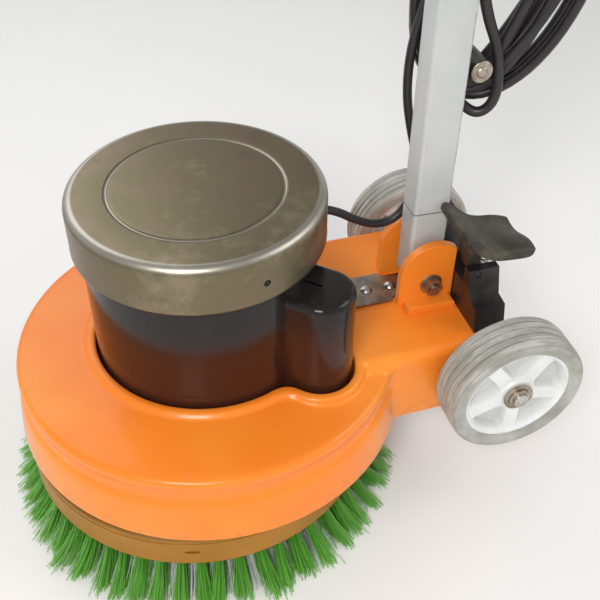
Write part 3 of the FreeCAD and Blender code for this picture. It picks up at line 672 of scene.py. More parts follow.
class TexturedPlastic(Finish):
    """Moulded plastic with a fine grain and dust in it."""

    def __init__(self, base: Colour, dust: Colour, dusty: float = 0.35, rough: float = 0.42,
                 grain: float = 900.0) -> None:
        """Keeps the tones.

        Args:
            base: the plastic's colour.
            dust: colour of the dust.
            dusty: how much dust there is, from 0 to 1.
            rough: roughness where it is clean.
            grain: fineness of the moulded grain.
        """
        super().__init__()
        self.base = base
        self.dust = dust
        self.dusty = dusty
        self.rough = rough
        self.grain = grain

    def paint(self, bench: Bench) -> bpy.types.Material:
        """Builds the material."""
        cloud = bench.noise(26.0, 5.0, 0.65)
        fine = bench.noise(self.grain, 2.0)
        powder = cloud.between(0.42, 0.72) * self.dusty + fine.between(0.55, 0.8) * self.dusty * 0.3
        tone = bench.mix(powder, self.base, self.dust)
        rough = self.rough + powder * 0.3
        return bench.surface(Base_Color=tone, Roughness=rough, Normal=bench.bump(fine, 0.12))


class Bristle(Finish):
    """Stiff nylon filaments, each a little lighter towards its cut tip."""

    def __init__(self, root: Colour, tip: Colour) -> None:
        """Keeps the tones at the root and at the tip."""
        super().__init__()
        self.root = root
        self.tip = tip

    def paint(self, bench: Bench) -> bpy.types.Material:
        """Builds the material."""
        along = bench.node("ShaderNodeAttribute", {"attribute_name": "along"}, output="Fac")
        streak = bench.noise(130.0, 2.0, stretch=(1.0, 1.0, 0.15))
        tone = bench.mix(along * 0.7 + streak * 0.5 - 0.1, self.root, self.tip)
        grey = bench.noise(40.0, 3.0).between(0.62, 0.8) * along
        tone = bench.mix(grey * 0.3, tone, (0.32, 0.38, 0.24))
        return bench.surface(Base_Color=tone, Roughness=0.36 + streak * 0.2)


class OchreBlock(Finish):
    """Ochre brush block with faint grain round it and painted shade along its upper edge under the skirt."""

    def paint(self, bench: Bench) -> bpy.types.Material:
        """Builds the material."""
        cloud = bench.noise(11.0, 4.0)
        grain = bench.noise(60.0, 4.0, stretch=(1.0, 1.0, 6.0))
        tone = bench.mix(cloud.between(0.3, 0.7), (0.330, 0.140, 0.006), (0.440, 0.190, 0.010))
        tone = bench.mix(grain * 0.4, tone, (0.235, 0.100, 0.014))
        # painted shade: the block's upper edge darkened, in the shadow gap under the hood's skirt
        dark = bench.part("Z").between(0.086, 0.093)
        tone = bench.mix(dark * 0.5, tone, (0.10, 0.045, 0.01))
        rough = 0.28 + grain * 0.2
        return bench.surface(Base_Color=tone, Roughness=rough, IOR=1.4, Normal=bench.bump(grain, 0.12))


class GreyTyre(Finish):
    """Grey rubber, scuffed lighter and darker round the tread."""

    def __init__(self, centre: Plane, radius: float) -> None:
        """Keeps the axle's place in (y, z) and the tyre's radius, in millimetres."""
        super().__init__()
        self.centre = centre
        self.radius = radius

    def paint(self, bench: Bench) -> bpy.types.Material:
        """Builds the material."""
        y = bench.part("Y") / MM - self.centre[0]
        z = bench.part("Z") / MM - self.centre[1]
        radius = (y * y + z * z) ** 0.5
        smear = bench.noise(20.0, 5.0, 0.65, (5.0, 1.0, 1.0))
        fleck = bench.noise(150.0, 5.0, 0.7)
        tone = bench.mix(smear.between(0.35, 0.68), (0.315, 0.310, 0.270), (0.485, 0.485, 0.455))
        tone = bench.mix(fleck.between(0.55, 0.75) * 0.4, tone, (0.205, 0.195, 0.165))
        worn = (radius - (self.radius - 9.0)).between(0.0, 8.0) * smear.between(0.5, 0.62)
        tone = bench.mix(worn * 0.35, tone, (0.56, 0.56, 0.53))
        low = (self.radius - 1.2 - radius).between(0.0, 1.6)
        face = (radius - (self.radius - 3.2)).between(0.0, 0.5)
        tone = bench.mix(low * face * 0.55, tone, (0.20, 0.17, 0.14))
        return bench.surface(Base_Color=tone, Roughness=0.55 + fleck * 0.25,
                             Normal=bench.bump(fleck + smear, 0.25))


class WhiteHub(Finish):
    """White moulded nylon with painted shade in its pockets and flecks of grime."""

    def paint(self, bench: Bench) -> bpy.types.Material:
        """Builds the material."""
        cloud = bench.noise(30.0, 4.0)
        tone = bench.mix(cloud.between(0.35, 0.75), (0.80, 0.815, 0.81), (0.70, 0.71, 0.70))
        # painted shade: darker grey in the pockets between the spokes, read from the hollow attribute
        hollow = bench.node("ShaderNodeAttribute", {"attribute_name": "hollow"}, output="Fac")
        tone = bench.mix(hollow * 0.45, tone, (0.42, 0.42, 0.41))
        grime = bench.noise(170.0, 4.0, 0.7).between(0.66, 0.78)
        tone = bench.mix(grime * 0.25, tone, (0.45, 0.40, 0.33))
        return bench.surface(Base_Color=tone, Roughness=0.34 + cloud * 0.12,
                             Normal=bench.bump(cloud, 0.1))


class CableSheath(Finish):
    """Black rubber sheath with worn grey streaks."""

    def paint(self, bench: Bench) -> bpy.types.Material:
        """Builds the material."""
        cloud = bench.noise(60.0, 5.0, 0.7)
        chalk = bench.noise(260.0, 4.0, 0.75).between(0.60, 0.76) * cloud.between(0.45, 0.6)
        tone = bench.mix(cloud, (0.010, 0.0095, 0.011), (0.026, 0.022, 0.024))
        tone = bench.mix(chalk * 0.5, tone, (0.20, 0.19, 0.19))
        return bench.surface(Base_Color=tone, Roughness=0.30 + cloud * 0.18, Normal=bench.bump(cloud, 0.15))


class PlainFloor(Finish):
    """Pale matt floor."""

    def paint(self, bench: Bench) -> bpy.types.Material:
        """Builds the material."""
        cloud = bench.noise(3.0, 3.0)
        tone = bench.mix(cloud, (0.90, 0.90, 0.895), (0.94, 0.94, 0.935))
        return bench.surface(Base_Color=tone, Roughness=0.62)


# ------------------------------------------------------------------ finishes of this machine
def make_finishes() -> dict[str, Finish]:
    """Makes the finishes by the record's slot names.

    Returns:
        Each slot's finish.
    """
    cap_low, cap_high = node_box("motor_cap")
    tube_low, tube_high = node_box("handle_tube")
    wheel_low, wheel_high = node_box("tyre_right")
    cap_centre = tuple((cap_low[:2] + cap_high[:2]) / 2)
    cap_radius = (cap_high[0] - cap_low[0]) / 2
    wheel_centre = tuple((wheel_low[1:] + wheel_high[1:]) / 2)
    pivot_z = tube_low[2] + (tube_high[1] - tube_low[1]) / 2
    zinc = ((0.62, 0.61, 0.58), (0.36, 0.34, 0.31))
    return {
        "orange_moulding": OrangeMoulding(),
        "black_enamel": StoveEnamel(),
        "worn_stainless": StainedStainless(cap_centre, CapSizes().groove, cap_radius),
        "bright_steel": BareSteel(*zinc, rust=0.12, rough=0.25),
        "dull_plate": BareSteel((0.36, 0.33, 0.28), (0.22, 0.20, 0.17), rust=0.15, rough=0.36),
        "rusty_steel": BareSteel((0.50, 0.45, 0.38), (0.30, 0.24, 0.17), rust=0.36, rough=0.34),
        "grey_coat": GreyPowderCoat(pivot_z + 82.0, pivot_z, tube_high[1]),
        "black_moulding": TexturedPlastic((0.012, 0.011, 0.012), (0.075, 0.062, 0.048), 0.45, 0.28),
        "brown_black": TexturedPlastic((0.030, 0.024, 0.020), (0.105, 0.095, 0.062), 0.9, 0.50, 600.0),
        "red_button": TexturedPlastic((0.62, 0.045, 0.02), (0.45, 0.22, 0.15), 0.15, 0.25),
        "nylon_bush": TexturedPlastic((0.62, 0.60, 0.54), (0.35, 0.30, 0.24), 0.4, 0.4),
        "cast_aluminium": BareSteel((0.55, 0.55, 0.55), (0.40, 0.40, 0.41), rough=0.5),
        "lamination_steel": BareSteel((0.25, 0.25, 0.26), (0.15, 0.15, 0.16), rough=0.45),
        "copper_winding": BareSteel((0.62, 0.26, 0.10), (0.40, 0.14, 0.05), rough=0.3),
        "capacitor_can": TexturedPlastic((0.72, 0.72, 0.70), (0.45, 0.43, 0.40), 0.2, 0.3),
        "ochre_block": OchreBlock(),
        "green_bristle": Bristle((0.055, 0.250, 0.020), (0.170, 0.500, 0.060)),
        "white_bristle": Bristle((0.55, 0.58, 0.56), (0.80, 0.83, 0.81)),
        "grey_tyre": GreyTyre(wheel_centre, (wheel_high[2] - wheel_low[2]) / 2),
        "white_hub": WhiteHub(),
        "chrome_tube": BareSteel((0.72, 0.72, 0.72), (0.55, 0.55, 0.56), rough=0.12),
        "grip_rubber": TexturedPlastic((0.012, 0.012, 0.012), (0.07, 0.065, 0.06), 0.4, 0.5, 700.0),
        "cord_rubber": CableSheath(),
    }


# ------------------------------------------------------------------ sub-assemblies
class Machine:
    """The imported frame, with the pieces that are added to it."""

    def __init__(self) -> None:
        """Loads the frame and makes the finishes."""
        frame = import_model()
        self.nodes: dict[str, bpy.types.Object] = frame["nodes"]
        self.body_of: dict[str, str] = {}
        for body, members in frame["record"]["behaviour"]["bodies"].items():
            self.body_of.update(dict.fromkeys(members, body))
        self.slot_of = {row["node"]: row["material_slot"] for row in frame["record"]["subparts"]}
        self.finishes = make_finishes()
        for name, node in self.nodes.items():
            self.finishes[self.slot_of[name]].dress(node)
        self.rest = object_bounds()

    def add(self, piece: bpy.types.Object, *nodes: str, slot: str | None = None,
            body: str | None = None) -> bpy.types.Object:
        """Puts a piece on a body, in place of CAD nodes.

        Args:
            piece: the new piece.
            *nodes: nodes that it stands for.
            slot: its finish; the first node's if left out.
            body: the body that it rides on; the first node's if left out.

        Returns:
            The piece.
        """
        slot = slot or self.slot_of[nodes[0]]
        self.finishes[slot].dress(piece)
        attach(piece, body or self.body_of[nodes[0]])
        if nodes:
            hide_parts(*nodes)
        return piece

    def soften(self, name: str, width: float, segments: int = 2) -> bpy.types.Object:
        """Shows a node's softened copy instead of it."""
        return self.add(softened(self.nodes[name], width, segments=segments), name)


@dataclass(frozen=True)
class CapSizes:
    """Sizes of the motor's pressed cap, in millimetres."""

    groove: float = 86.7
    roll: float = 9.0
    sheet: float = 2.4
    hole: float = 3.6
    hole_height: float = 356.0
    hole_deg: float = 17.0


@dataclass(frozen=True)
class BoxSizes:
    """Sizes of the capacitor box, in millimetres from the motor's axis."""

    direction_deg: float = 46.0
    half: float = 34.0
    reach: float = 171.0
    top: float = 314.0
    corner: float = 32.0
    edge: float = 8.0

    def local(self, x: np.ndarray, y: np.ndarray) -> tuple[np.ndarray, np.ndarray]:
        """Turns plan coordinates into distances along the box and across it."""
        turn = math.radians(self.direction_deg)
        along = x * math.cos(turn) + y * math.sin(turn)
        across = y * math.cos(turn) - x * math.sin(turn)
        return along, across

    def plan_gap(self, x: np.ndarray, y: np.ndarray, grow: float) -> np.ndarray:
        """Signed distance in plan to the box's outline, grown by so much.

        The outline is a rectangle from the axis outwards, its outer corners quarter circles.

        Args:
            x: first plan coordinates, from the motor's axis.
            y: second plan coordinates.
            grow: how far the outline is moved out.

        Returns:
            The distances, negative inside.
        """
        along, across = self.local(x, y)
        radius = self.corner + grow
        dx = np.abs(along - self.reach / 2) - (self.reach / 2 + grow - radius)
        dy = np.abs(across) - (self.half + grow - radius)
        outside = np.hypot(np.maximum(dx, 0), np.maximum(dy, 0))
        return outside + np.minimum(np.maximum(dx, dy), 0) - radius


class Deck:
    """Moulded hood: a drum with two ridges, a rolled lip round the motor and box, and the neck behind."""

    SLICES = 540
    ROUND_OUT = 152
    ROUND_IN = 24
    WALL = 3.5
    FLOOR_Z = 150.0

    def __init__(self, machine: Machine) -> None:
        """Reads the hood's place and size off its node."""
        self.machine = machine
        low, high = node_box("deck_housing")
        self.skirt = (high[0] - low[0]) / 2
        self.axis_y = low[1] + self.skirt
        self.bottom = low[2]
        self.back = high[1]
        self.top = high[2]
        self.neck = 111.0
        self.box = BoxSizes()
        shape = [(1, 200), (133, 200), (196, 194.5), (204.5, 193), (208, 188), (205.5, 179), (203.8, 170),
                 (204.5, 163), (208.5, 158), (210.5, 151), (212, 138), (self.skirt, self.bottom),
                 (self.skirt + 1.5, 70), (1, 70)]
        self.profile = np.concatenate([shape[:1], rounded(shape[1:-1], 2), shape[-1:]])

    def opening_gap(self, x: np.ndarray, y: np.ndarray) -> np.ndarray:
        """Signed plan distance to the hole for the motor and its box, negative inside it."""
        circle = np.hypot(x, y) - 121.0
        return smooth_least(circle, self.box.plan_gap(x, y, 3.0), 16.0)

    def gap(self, x: np.ndarray, y: np.ndarray, z: np.ndarray) -> np.ndarray:
        """Signed distance to the solid hood.

        The turned hood, the rounded neck and the raised lip are joined with fillets, and the hole for
        the motor is taken away with a small rounding.

        Args:
            x: coordinates across.
            y: coordinates from the motor's axis backwards.
            z: heights.

        Returns:
            The distances, negative inside.
        """
        hood = polygon_distance(np.hypot(x, y), z, self.profile)
        half_long = (self.back - self.axis_y) / 2
        centre_z = (self.top + 60.0) / 2
        edge = 12.0
        dx = np.abs(x) - (self.neck - edge)
        dy = np.abs(y - half_long) - (half_long - edge)
        dz = np.abs(z - centre_z) - (self.top - centre_z - edge)
        outside = np.sqrt(np.maximum(dx, 0) ** 2 + np.maximum(dy, 0) ** 2 + np.maximum(dz, 0) ** 2)
        neck = outside + np.minimum(np.maximum(np.maximum(dx, dy), dz), 0) - edge
        body = smooth_least(hood, neck, 9.0)
        opening = self.opening_gap(x, y)
        roll = 4.0
        pad_x = opening - (10.5 - roll)
        pad_z = z - (self.top - 1.5 - roll)
        pad = np.hypot(np.maximum(pad_x, 0), np.maximum(pad_z, 0)) + np.minimum(
            np.maximum(pad_x, pad_z), 0) - roll
        body = smooth_least(body, pad, 5.0)
        return -smooth_least(-body, opening, 4.0)

    def starts(self) -> tuple[np.ndarray, np.ndarray]:
        """Points just outside the hole's edge, and the outward direction of the slice through each.

        The edge is followed by angle and resampled by length. Each slice aims half way between its
        own angle and an even one, so that slices don't bunch along the sides of the box.

        Returns:
            The points and the unit directions, in plan.
        """
        turn = math.radians(self.box.direction_deg)
        angle = turn + np.linspace(0, 2 * math.pi, 4001)
        near, far = np.full(angle.shape, 100.0), np.full(angle.shape, 200.0)
        for _ in range(40):
            middle = (near + far) / 2
            inside = self.opening_gap(middle * np.cos(angle), middle * np.sin(angle)) < 0
            near, far = np.where(inside, middle, near), np.where(inside, far, middle)
        edge = near[:, None] * np.stack([np.cos(angle), np.sin(angle)], 1)
        even = evenly(np.concatenate([edge, angle[:, None]], 1), self.SLICES + 1)[:-1]
        edge, own = even[:, :2], even[:, 2]
        along = np.roll(edge, -1, 0) - np.roll(edge, 1, 0)
        normal = np.stack([along[:, 1], -along[:, 0]], 1)
        normal /= np.linalg.norm(normal, axis=1)[:, None]
        start = edge + normal * 6.0
        aim = 0.5 * own + 0.5 * (turn + np.linspace(0, 2 * math.pi, self.SLICES, endpoint=False))
        target = 340.0 * np.stack([np.cos(aim), np.sin(aim)], 1)
        direction = target - start
        return start, direction / np.linalg.norm(direction, axis=1)[:, None]

    def shoot(self, start: np.ndarray, direction: np.ndarray, level: float) -> np.ndarray:
        """Goes from inside the hood along slanting rays until the signed distance reaches a level.

        Every slice has the same fan: level rays from the skirt's bottom up, then rays that turn from
        outward over the top to inward. Each step is as long as the distance left.

        Args:
            start: plan points, one a slice.
            direction: plan directions, one a slice.
            level: the signed distance to stop at.

        Returns:
            The points reached, array (slices, rays, 3).
        """
        heights = np.linspace(self.bottom, self.FLOOR_Z, 26, endpoint=False)
        tilt = np.linspace(0.0, math.pi, 230)
        flat = np.concatenate([np.ones(26), np.cos(tilt)])
        lift = np.concatenate([np.zeros(26), np.sin(tilt)])
        height = np.concatenate([heights, np.full(230, self.FLOOR_Z)])
        travel = np.zeros((len(start), len(flat)))
        for _ in range(60):
            x = start[:, :1] + direction[:, :1] * flat * travel
            y = start[:, 1:] + direction[:, 1:] * flat * travel
            z = height + lift * travel
            travel += 0.92 * (level - self.gap(x, y, z))
        return np.stack([x, y + self.axis_y, z], -1)

    def build(self) -> None:
        """Makes the hood as one closed sheet: the outside, and the inside that is a wall further in."""
        start, direction = self.starts()
        outer = self.shoot(start, direction, 0.0)
        inner = self.shoot(start, direction, -self.WALL)
        rows = [np.concatenate([evenly(o, self.ROUND_OUT), evenly(i[::-1], self.ROUND_IN)])
                for o, i in zip(outer, inner)]
        skin = Skin().grid(np.stack(rows), wrap_u=True, wrap_v=True)
        self.machine.add(skin.build("deck_shell", 48.0), "deck_housing")


class Motor:
    """Can, cap and capacitor box."""

    def __init__(self, machine: Machine) -> None:
        """Reads the motor's axis and sizes off its nodes."""
        self.machine = machine
        low, high = node_box("motor_cap")
        self.centre = ((low[0] + high[0]) / 2, (low[1] + high[1]) / 2, 0.0)
        self.cap_radius = (high[0] - low[0]) / 2
        self.cap_low, self.cap_top = low[2], high[2]
        self.can_low, self.can_top = (corner[2] for corner in node_box("motor_housing"))
        self.can_radius = self.cap_radius - 9.0
        self.cap = CapSizes()
        self.box = BoxSizes()

    def build(self) -> None:
        """Makes the motor's outside."""
        self._can()
        self._cap()
        self._box()
        self.machine.soften("cap_screws", 0.4)
        self.machine.soften("lead_gland", 0.6)

    def _can(self) -> None:
        """Drawn can, flared under the cap."""
        r, low, top = self.can_radius, self.can_low, self.can_top
        flare = self.cap_radius - 2.6
        profile = [(r - 5, low), (r, low), (r, top - 15), (r + 1, top - 13.5), (flare, top - 12),
                   (flare, top), (r - 20, top), (r - 20, top - 5), (r - 5, top - 5), (r - 5, low)]
        piece = Skin().turned(np.array(profile), self.centre, segments=256).build("motor_can", 30.0)
        self.machine.add(piece, "motor_housing")

    def _cap(self) -> None:
        """Pressed cap: rolled top edge, hemmed lower edge, a pressed ring and an empty screw hole."""
        cap = self.cap
        r, low, top, sheet = self.cap_radius, self.cap_low, self.cap_top, cap.sheet
        turn = np.linspace(0.0, math.pi / 2, 12)
        roll = np.stack([r - cap.roll + cap.roll * np.cos(turn), top - cap.roll + cap.roll * np.sin(turn)], 1)
        back = roll[::-1] + sheet * np.array([-1.0, -1.0])
        hem = rounded([(r - sheet, low + 5), (r - sheet, low), (r + 0.3, low), (r + 0.3, low + 4),
                       (r, low + 7)], 3)
        ring = [(cap.groove + w, top + h) for w, h in (
            (3.2, 0.0), (1.6, -0.12), (0.9, -0.75), (0.0, -1.0), (-0.9, -0.75), (-1.6, 0.1), (-3.0, 0.32),
            (-6.0, 0.38))]
        profile = np.concatenate([hem, roll, ring, [(0, top + 0.38), (0, top - sheet)], back])
        piece = Skin().turned(profile, self.centre, segments=288).build("cap_shell", 50.0)
        angle = math.radians(cap.hole_deg)
        place = np.array([math.cos(angle), math.sin(angle), 0.0]) * (r - 3)
        place += [self.centre[0], self.centre[1], cap.hole_height]
        drill(piece, place, (math.cos(angle), math.sin(angle), 0.0), cap.hole, 12.0)
        self.machine.add(piece, "motor_cap")

    def _box(self) -> None:
        """Capacitor box: upright sides and a flat top with a rolled edge."""
        box = self.box
        inner = 60.0
        turn = np.linspace(0.0, math.pi / 2, 10)
        shoulder = box.top - box.edge
        levels = [(0.0, self.can_low)] + [(0.0, z) for z in np.linspace(self.can_low + 20, shoulder, 8)]
        levels += [(box.edge * (1 - math.cos(a)), shoulder + box.edge * math.sin(a)) for a in turn[1:]]
        levels += [(20.0, box.top + 0.5), (33.0, box.top + 0.8)]
        rings = []
        for inset, z in levels:
            plan = rounded_rectangle((box.reach - inner) / 2 - inset, box.half - inset,
                                     max(box.corner - inset, 0.8), 14)
            along = plan[:, 0] + (box.reach + inner) / 2
            rings.append(np.stack([along, plan[:, 1], np.full(len(plan), z)], 1))
        grid = np.stack(rings)
        turn_by = math.radians(box.direction_deg)
        x = grid[..., 0] * math.cos(turn_by) - grid[..., 1] * math.sin(turn_by) + self.centre[0]
        y = grid[..., 0] * math.sin(turn_by) + grid[..., 1] * math.cos(turn_by) + self.centre[1]
        skin = Skin().grid(np.stack([x, y, grid[..., 2]], -1), wrap_v=True)
        self.machine.add(skin.build("capacitor_cover", 40.0), "capacitor_box")


def drill(piece: bpy.types.Object, place: Sequence[float], direction: Sequence[float], radius: float,
          length: float, stretch: float = 1.0) -> None:
    """Cuts a round or oval hole, with a level axis, in a piece.

    Args:
        piece: the piece to cut.
        place: the hole's middle, in millimetres.
        direction: the hole's axis.
        radius: the hole's radius.
        length: how long the cut is.
        stretch: how many times wider than high the hole is.
    """
    mesh = bpy.data.meshes.new("bit")
    work = bmesh.new()
    turn = Vector((0, 0, 1)).rotation_difference(Vector(direction)).to_matrix().to_4x4()
    turn = Matrix.Scale(stretch, 4, (-direction[1], direction[0], 0.0)) @ turn
    bmesh.ops.create_cone(work, cap_ends=True, segments=28, radius1=radius * MM, radius2=radius * MM,
                          depth=length * MM, matrix=Matrix.Translation(Vector(place) * MM) @ turn)
    work.to_mesh(mesh)
    work.free()
    bit = bpy.data.objects.new("bit", mesh)
    bpy.context.scene.collection.objects.link(bit)
    cut = piece.modifiers.new("hole", "BOOLEAN")
    cut.operation = "DIFFERENCE"
    cut.solver = "EXACT"
    cut.object = bit
    bake_modifiers(piece)
    bpy.data.objects.remove(bit)
    piece.data.set_sharp_from_angle(angle=math.radians(50.0))


@dataclass(frozen=True)
class TuftRow:
    """One ring of bristle tufts: where the tufts stand, how they lean and how many filaments they have."""

    radius: float
    tufts: int
    filaments: int
    foot: float
    spread: float
    thick: float = 0.52
    phase: float = 0.0


class Brush:
    """Moulded block with rings of bristle tufts."""

    SIDES = 3
    RINGS = 5
    SLOTS = 3
    FIRST_SLOT_DEG = -15.0

    def __init__(self, machine: Machine) -> None:
        """Reads the block's sizes off its node."""
        self.machine = machine
        low, high = node_box("brush_block")
        self.radius = (high[0] - low[0]) / 2
        self.low, self.top = low[2], high[2]
        self.rng = np.random.default_rng(41)

    def build(self) -> None:
        """Makes the block, two rows of green tufts in step and five of white ones inside them."""
        self._block()
        green = [TuftRow(187.0, 56, 50, 220.0, 4.2, 0.62), TuftRow(177.0, 56, 44, 208.0, 4.2, 0.62)]
        white = [TuftRow(168.0, 56, 30, 202.0, 4.6, 0.5, 0.5), TuftRow(154.0, 44, 26, 176.0, 6.0, 0.45),
                 TuftRow(138.0, 40, 24, 154.0, 6.0, 0.45, 0.5),
                 TuftRow(112.0, 32, 22, 121.0, 6.0, 0.45), TuftRow(84.0, 24, 22, 90.0, 6.0, 0.45, 0.5)]
        self.machine.add(self._bristles("green_tufts", green), "bristles_outer")
        self.machine.add(self._bristles("white_tufts", white), "bristles_inner")

    def _block(self) -> None:
        """Turned block with a groove near its top and three key slots in its side."""
        r, low, top = self.radius, self.low, self.top
        side = rounded([(r - 6, low), (r, low), (r, low + 6)], 3)
        crown = rounded([(r, top - 12), (r, top - 10), (r - 2.4, top - 9.6), (r - 2.4, top - 8.8),
                         (r, top - 8.4), (r, top), (r - 6, top)], 2)
        inner = [(60, top), (60, top - 8), (32, top - 8), (32, low)]
        profile = np.concatenate([side, crown, inner, side[:1]])
        piece = Skin().turned(profile, (0, 0, 0), segments=240).build("block_turned", 35.0)
        for k in range(self.SLOTS):
            angle = math.radians(self.FIRST_SLOT_DEG) + k * math.tau / self.SLOTS
            heading = np.array([math.cos(angle), math.sin(angle), 0.0])
            drill(piece, heading * (r - 2) + [0, 0, low + 21.5], heading, 2.6, 14.0, 3.2)
        self.machine.add(piece, "brush_block")

    def _bristles(self, name: str, rows: Iterable[TuftRow]) -> bpy.types.Object:
        """Makes one mesh of filaments.

        Each filament leaves the block straight down and bends outwards as the square of its share of
        length; its foot is drawn from a normal spread about the tuft's own foot.

        Args:
            name: the piece's name.
            rows: the rings of tufts.

        Returns:
            The mesh object, with the share of length kept as "along".
        """
        roots, feet, thick = [], [], []
        for row in rows:
            angle = (np.arange(row.tufts) + row.phase) * math.tau / row.tufts
            angle += self.rng.normal(0, 0.006, row.tufts)
            reach = row.foot + self.rng.normal(0, 3.2, row.tufts)
            swirl = self.rng.normal(0, 4.0, row.tufts)
            out = np.stack([np.cos(angle), np.sin(angle)], 1)[:, None]
            side = np.stack([-np.sin(angle), np.cos(angle)], 1)[:, None]
            shape = (row.tufts, row.filaments, 1)
            a, b = np.clip(self.rng.normal(0, 0.5, (2, *shape)), -1.0, 1.0)
            root = out * (row.radius + 5.0 * a) + side * 4.2 * b
            far = reach[:, None, None] + 10.0 * a + self.rng.normal(0, row.spread * 0.6, shape)
            turn = swirl[:, None, None] + 9.5 * b + self.rng.normal(0, row.spread * 0.45, shape)
            roots.append(root.reshape(-1, 2))
            feet.append((out * np.minimum(far, 244.0) + side * turn).reshape(-1, 2))
            thick.append(np.full(row.tufts * row.filaments, row.thick))
        root, foot, radius = np.concatenate(roots), np.concatenate(feet), np.concatenate(thick)
        count = len(root)
        end_z = np.abs(self.rng.normal(0.8, 1.6, count)) + 0.5
        share = np.linspace(0.0, 1.0, self.RINGS)
        bend = (0.35 * share + 0.65 * share ** 1.8)[None, :, None]
        plan = root[:, None] + (foot - root)[:, None] * bend
        height = (self.low + 1.0) + (end_z[:, None] - self.low - 1.0) * share[None]
        turn = np.arange(self.SIDES) * math.tau / self.SIDES
        width = radius[:, None, None] * (1.0 - 0.25 * share)[None, :, None]
        x = plan[..., :1] + width * np.cos(turn)
        y = plan[..., 1:] + width * np.sin(turn)
        grid = np.stack([x, y, np.broadcast_to(height[..., None], x.shape)], -1)
        index = np.arange(count * self.RINGS * self.SIDES).reshape(count, self.RINGS, self.SIDES)
        ahead = np.roll(index, -1, 2)
        walls = np.stack([index[:, :-1], index[:, 1:], ahead[:, 1:], ahead[:, :-1]], -1).reshape(-1, 4)
        tips = index[:, -1, ::-1]
        mesh = bpy.data.meshes.new(name)
        faces = walls.tolist() + tips.tolist()
        mesh.from_pydata((grid.reshape(-1, 3) * MM).tolist(), [], faces)
        kept = mesh.attributes.new("along", "FLOAT", "POINT")
        along = np.broadcast_to(share[None, :, None], index.shape)
        kept.data.foreach_set("value", along.ravel().astype(np.float32))
        return finished(name, mesh, 60.0)


class Wheels:
    """Two grooved tyres on spoked hubs."""

    SPOKES = 5

    def __init__(self, machine: Machine) -> None:
        """Reads the wheels' place and sizes off a tyre."""
        self.machine = machine
        low, high = node_box("tyre_right")
        self.radius = (high[2] - low[2]) / 2
        self.centre = (0.0, (low[1] + high[1]) / 2, (low[2] + high[2]) / 2)
        self.inner, self.outer = low[0], high[0]
        self.rim = 61.7

    def build(self) -> None:
        """Makes both wheels, the left one as a mirror image."""
        for side, word in ((1.0, "right"), (-1.0, "left")):
            self._tyre(side, word)
            self._hub(side, word)
        self.machine.soften("axle", 0.8)
        self.machine.add(softened(self.machine.nodes["axle_retainers"], 0.5), "axle_retainers",
                         slot="rusty_steel")

    def _tyre(self, side: float, word: str) -> None:
        """Tyre with rounded shoulders and four grooves round its tread."""
        r, rim = self.radius, self.rim
        x0, x1 = self.inner, self.outer
        points = [(rim - 2, x0 + 3.2), (rim + 1, x0 + 2.4), (r - 7, x0), (r - 3, x0 + 0.6), (r - 0.8, x0 + 3)]
        for k in range(4):
            groove = x0 + 10.9 + 8.7 * k
            points += [(r, groove - 2.4), (r - 0.2, groove - 1.2), (r - 2.6, groove - 0.6),
                       (r - 2.6, groove + 0.6), (r - 0.2, groove + 1.2), (r, groove + 2.4)]
        points += [(r - 0.8, x1 - 3), (r - 3, x1 - 0.6), (r - 7, x1), (rim + 1, x1 - 2.4),
                   (rim - 2, x1 - 3.2)]
        profile = rounded(points, 2)
        profile = np.concatenate([profile, profile[:1]])
        profile[:, 1] *= side
        piece = Skin().turned(profile, self.centre, Axis.ACROSS, 192).build("tyre_made_" + word, 50.0)
        self.machine.add(piece, "tyre_" + word)

    def _hub(self, side: float, word: str) -> None:
        """Hub with five pockets between its spokes, on both faces.

        Each face is a height over the disc: full height on the rim, spokes and boss, dropping by a
        smooth step over two millimetres to the web, by the distance to the nearest pocket wall.

        Args:
            side: 1 for the right wheel, -1 for the left.
            word: the side's name.
        """
        radius = np.concatenate([[8.1], np.linspace(8.6, self.rim - 0.4, 74), [self.rim]])[:, None]
        angle = np.linspace(0, math.tau, 360, endpoint=False)[None]
        across = radius * np.cos(angle), radius * np.sin(angle)
        wall = np.minimum(self.rim - 6.5 - radius, radius - 21.0) + 0 * angle
        for k in range(self.SPOKES):
            lean = math.radians(56.0 + 72.0 * k)
            off = np.abs(across[0] * math.sin(lean) - across[1] * math.cos(lean))
            ahead = across[0] * math.cos(lean) + across[1] * math.sin(lean)
            wall = smooth_least(wall, np.where(ahead > 0, off - 7.6, 40.0), 7.0)
        step = np.clip(wall / 2.6, 0, 1)
        step = step * step * (3 - 2 * step)
        boss = np.clip((21.5 - radius) / 2.0, 0, 1) + 0 * angle
        edge = np.clip((radius - self.rim + 1.2) / 1.2, 0, 1) * 1.4
        middle = (self.inner + self.outer) / 2
        skin = Skin()
        faces = []
        for face in (-1.0, 1.0):
            reach = 19.0 - 3.0 * (1 - boss) + 4.0 * np.clip((radius - self.rim + 6.5) / 2.0, 0, 1) - edge
            level = reach - (reach - 3.0) * step * 0.82
            x = side * (middle + face * level)
            grid = np.stack([x, across[0] + self.centre[1], across[1] + self.centre[2]], -1)
            # the pocket depth kept as the hollow attribute gives the hub's painted shade in its pockets
            skin.grid(grid, wrap_v=True, value=step)
            faces.append(grid)
        for row in (0, -1):
            skin.grid(np.stack([faces[0][row], faces[1][row]]), wrap_v=True)
        self.machine.add(skin.build("hub_made_" + word, 38.0, attribute="hollow"), "hub_" + word)


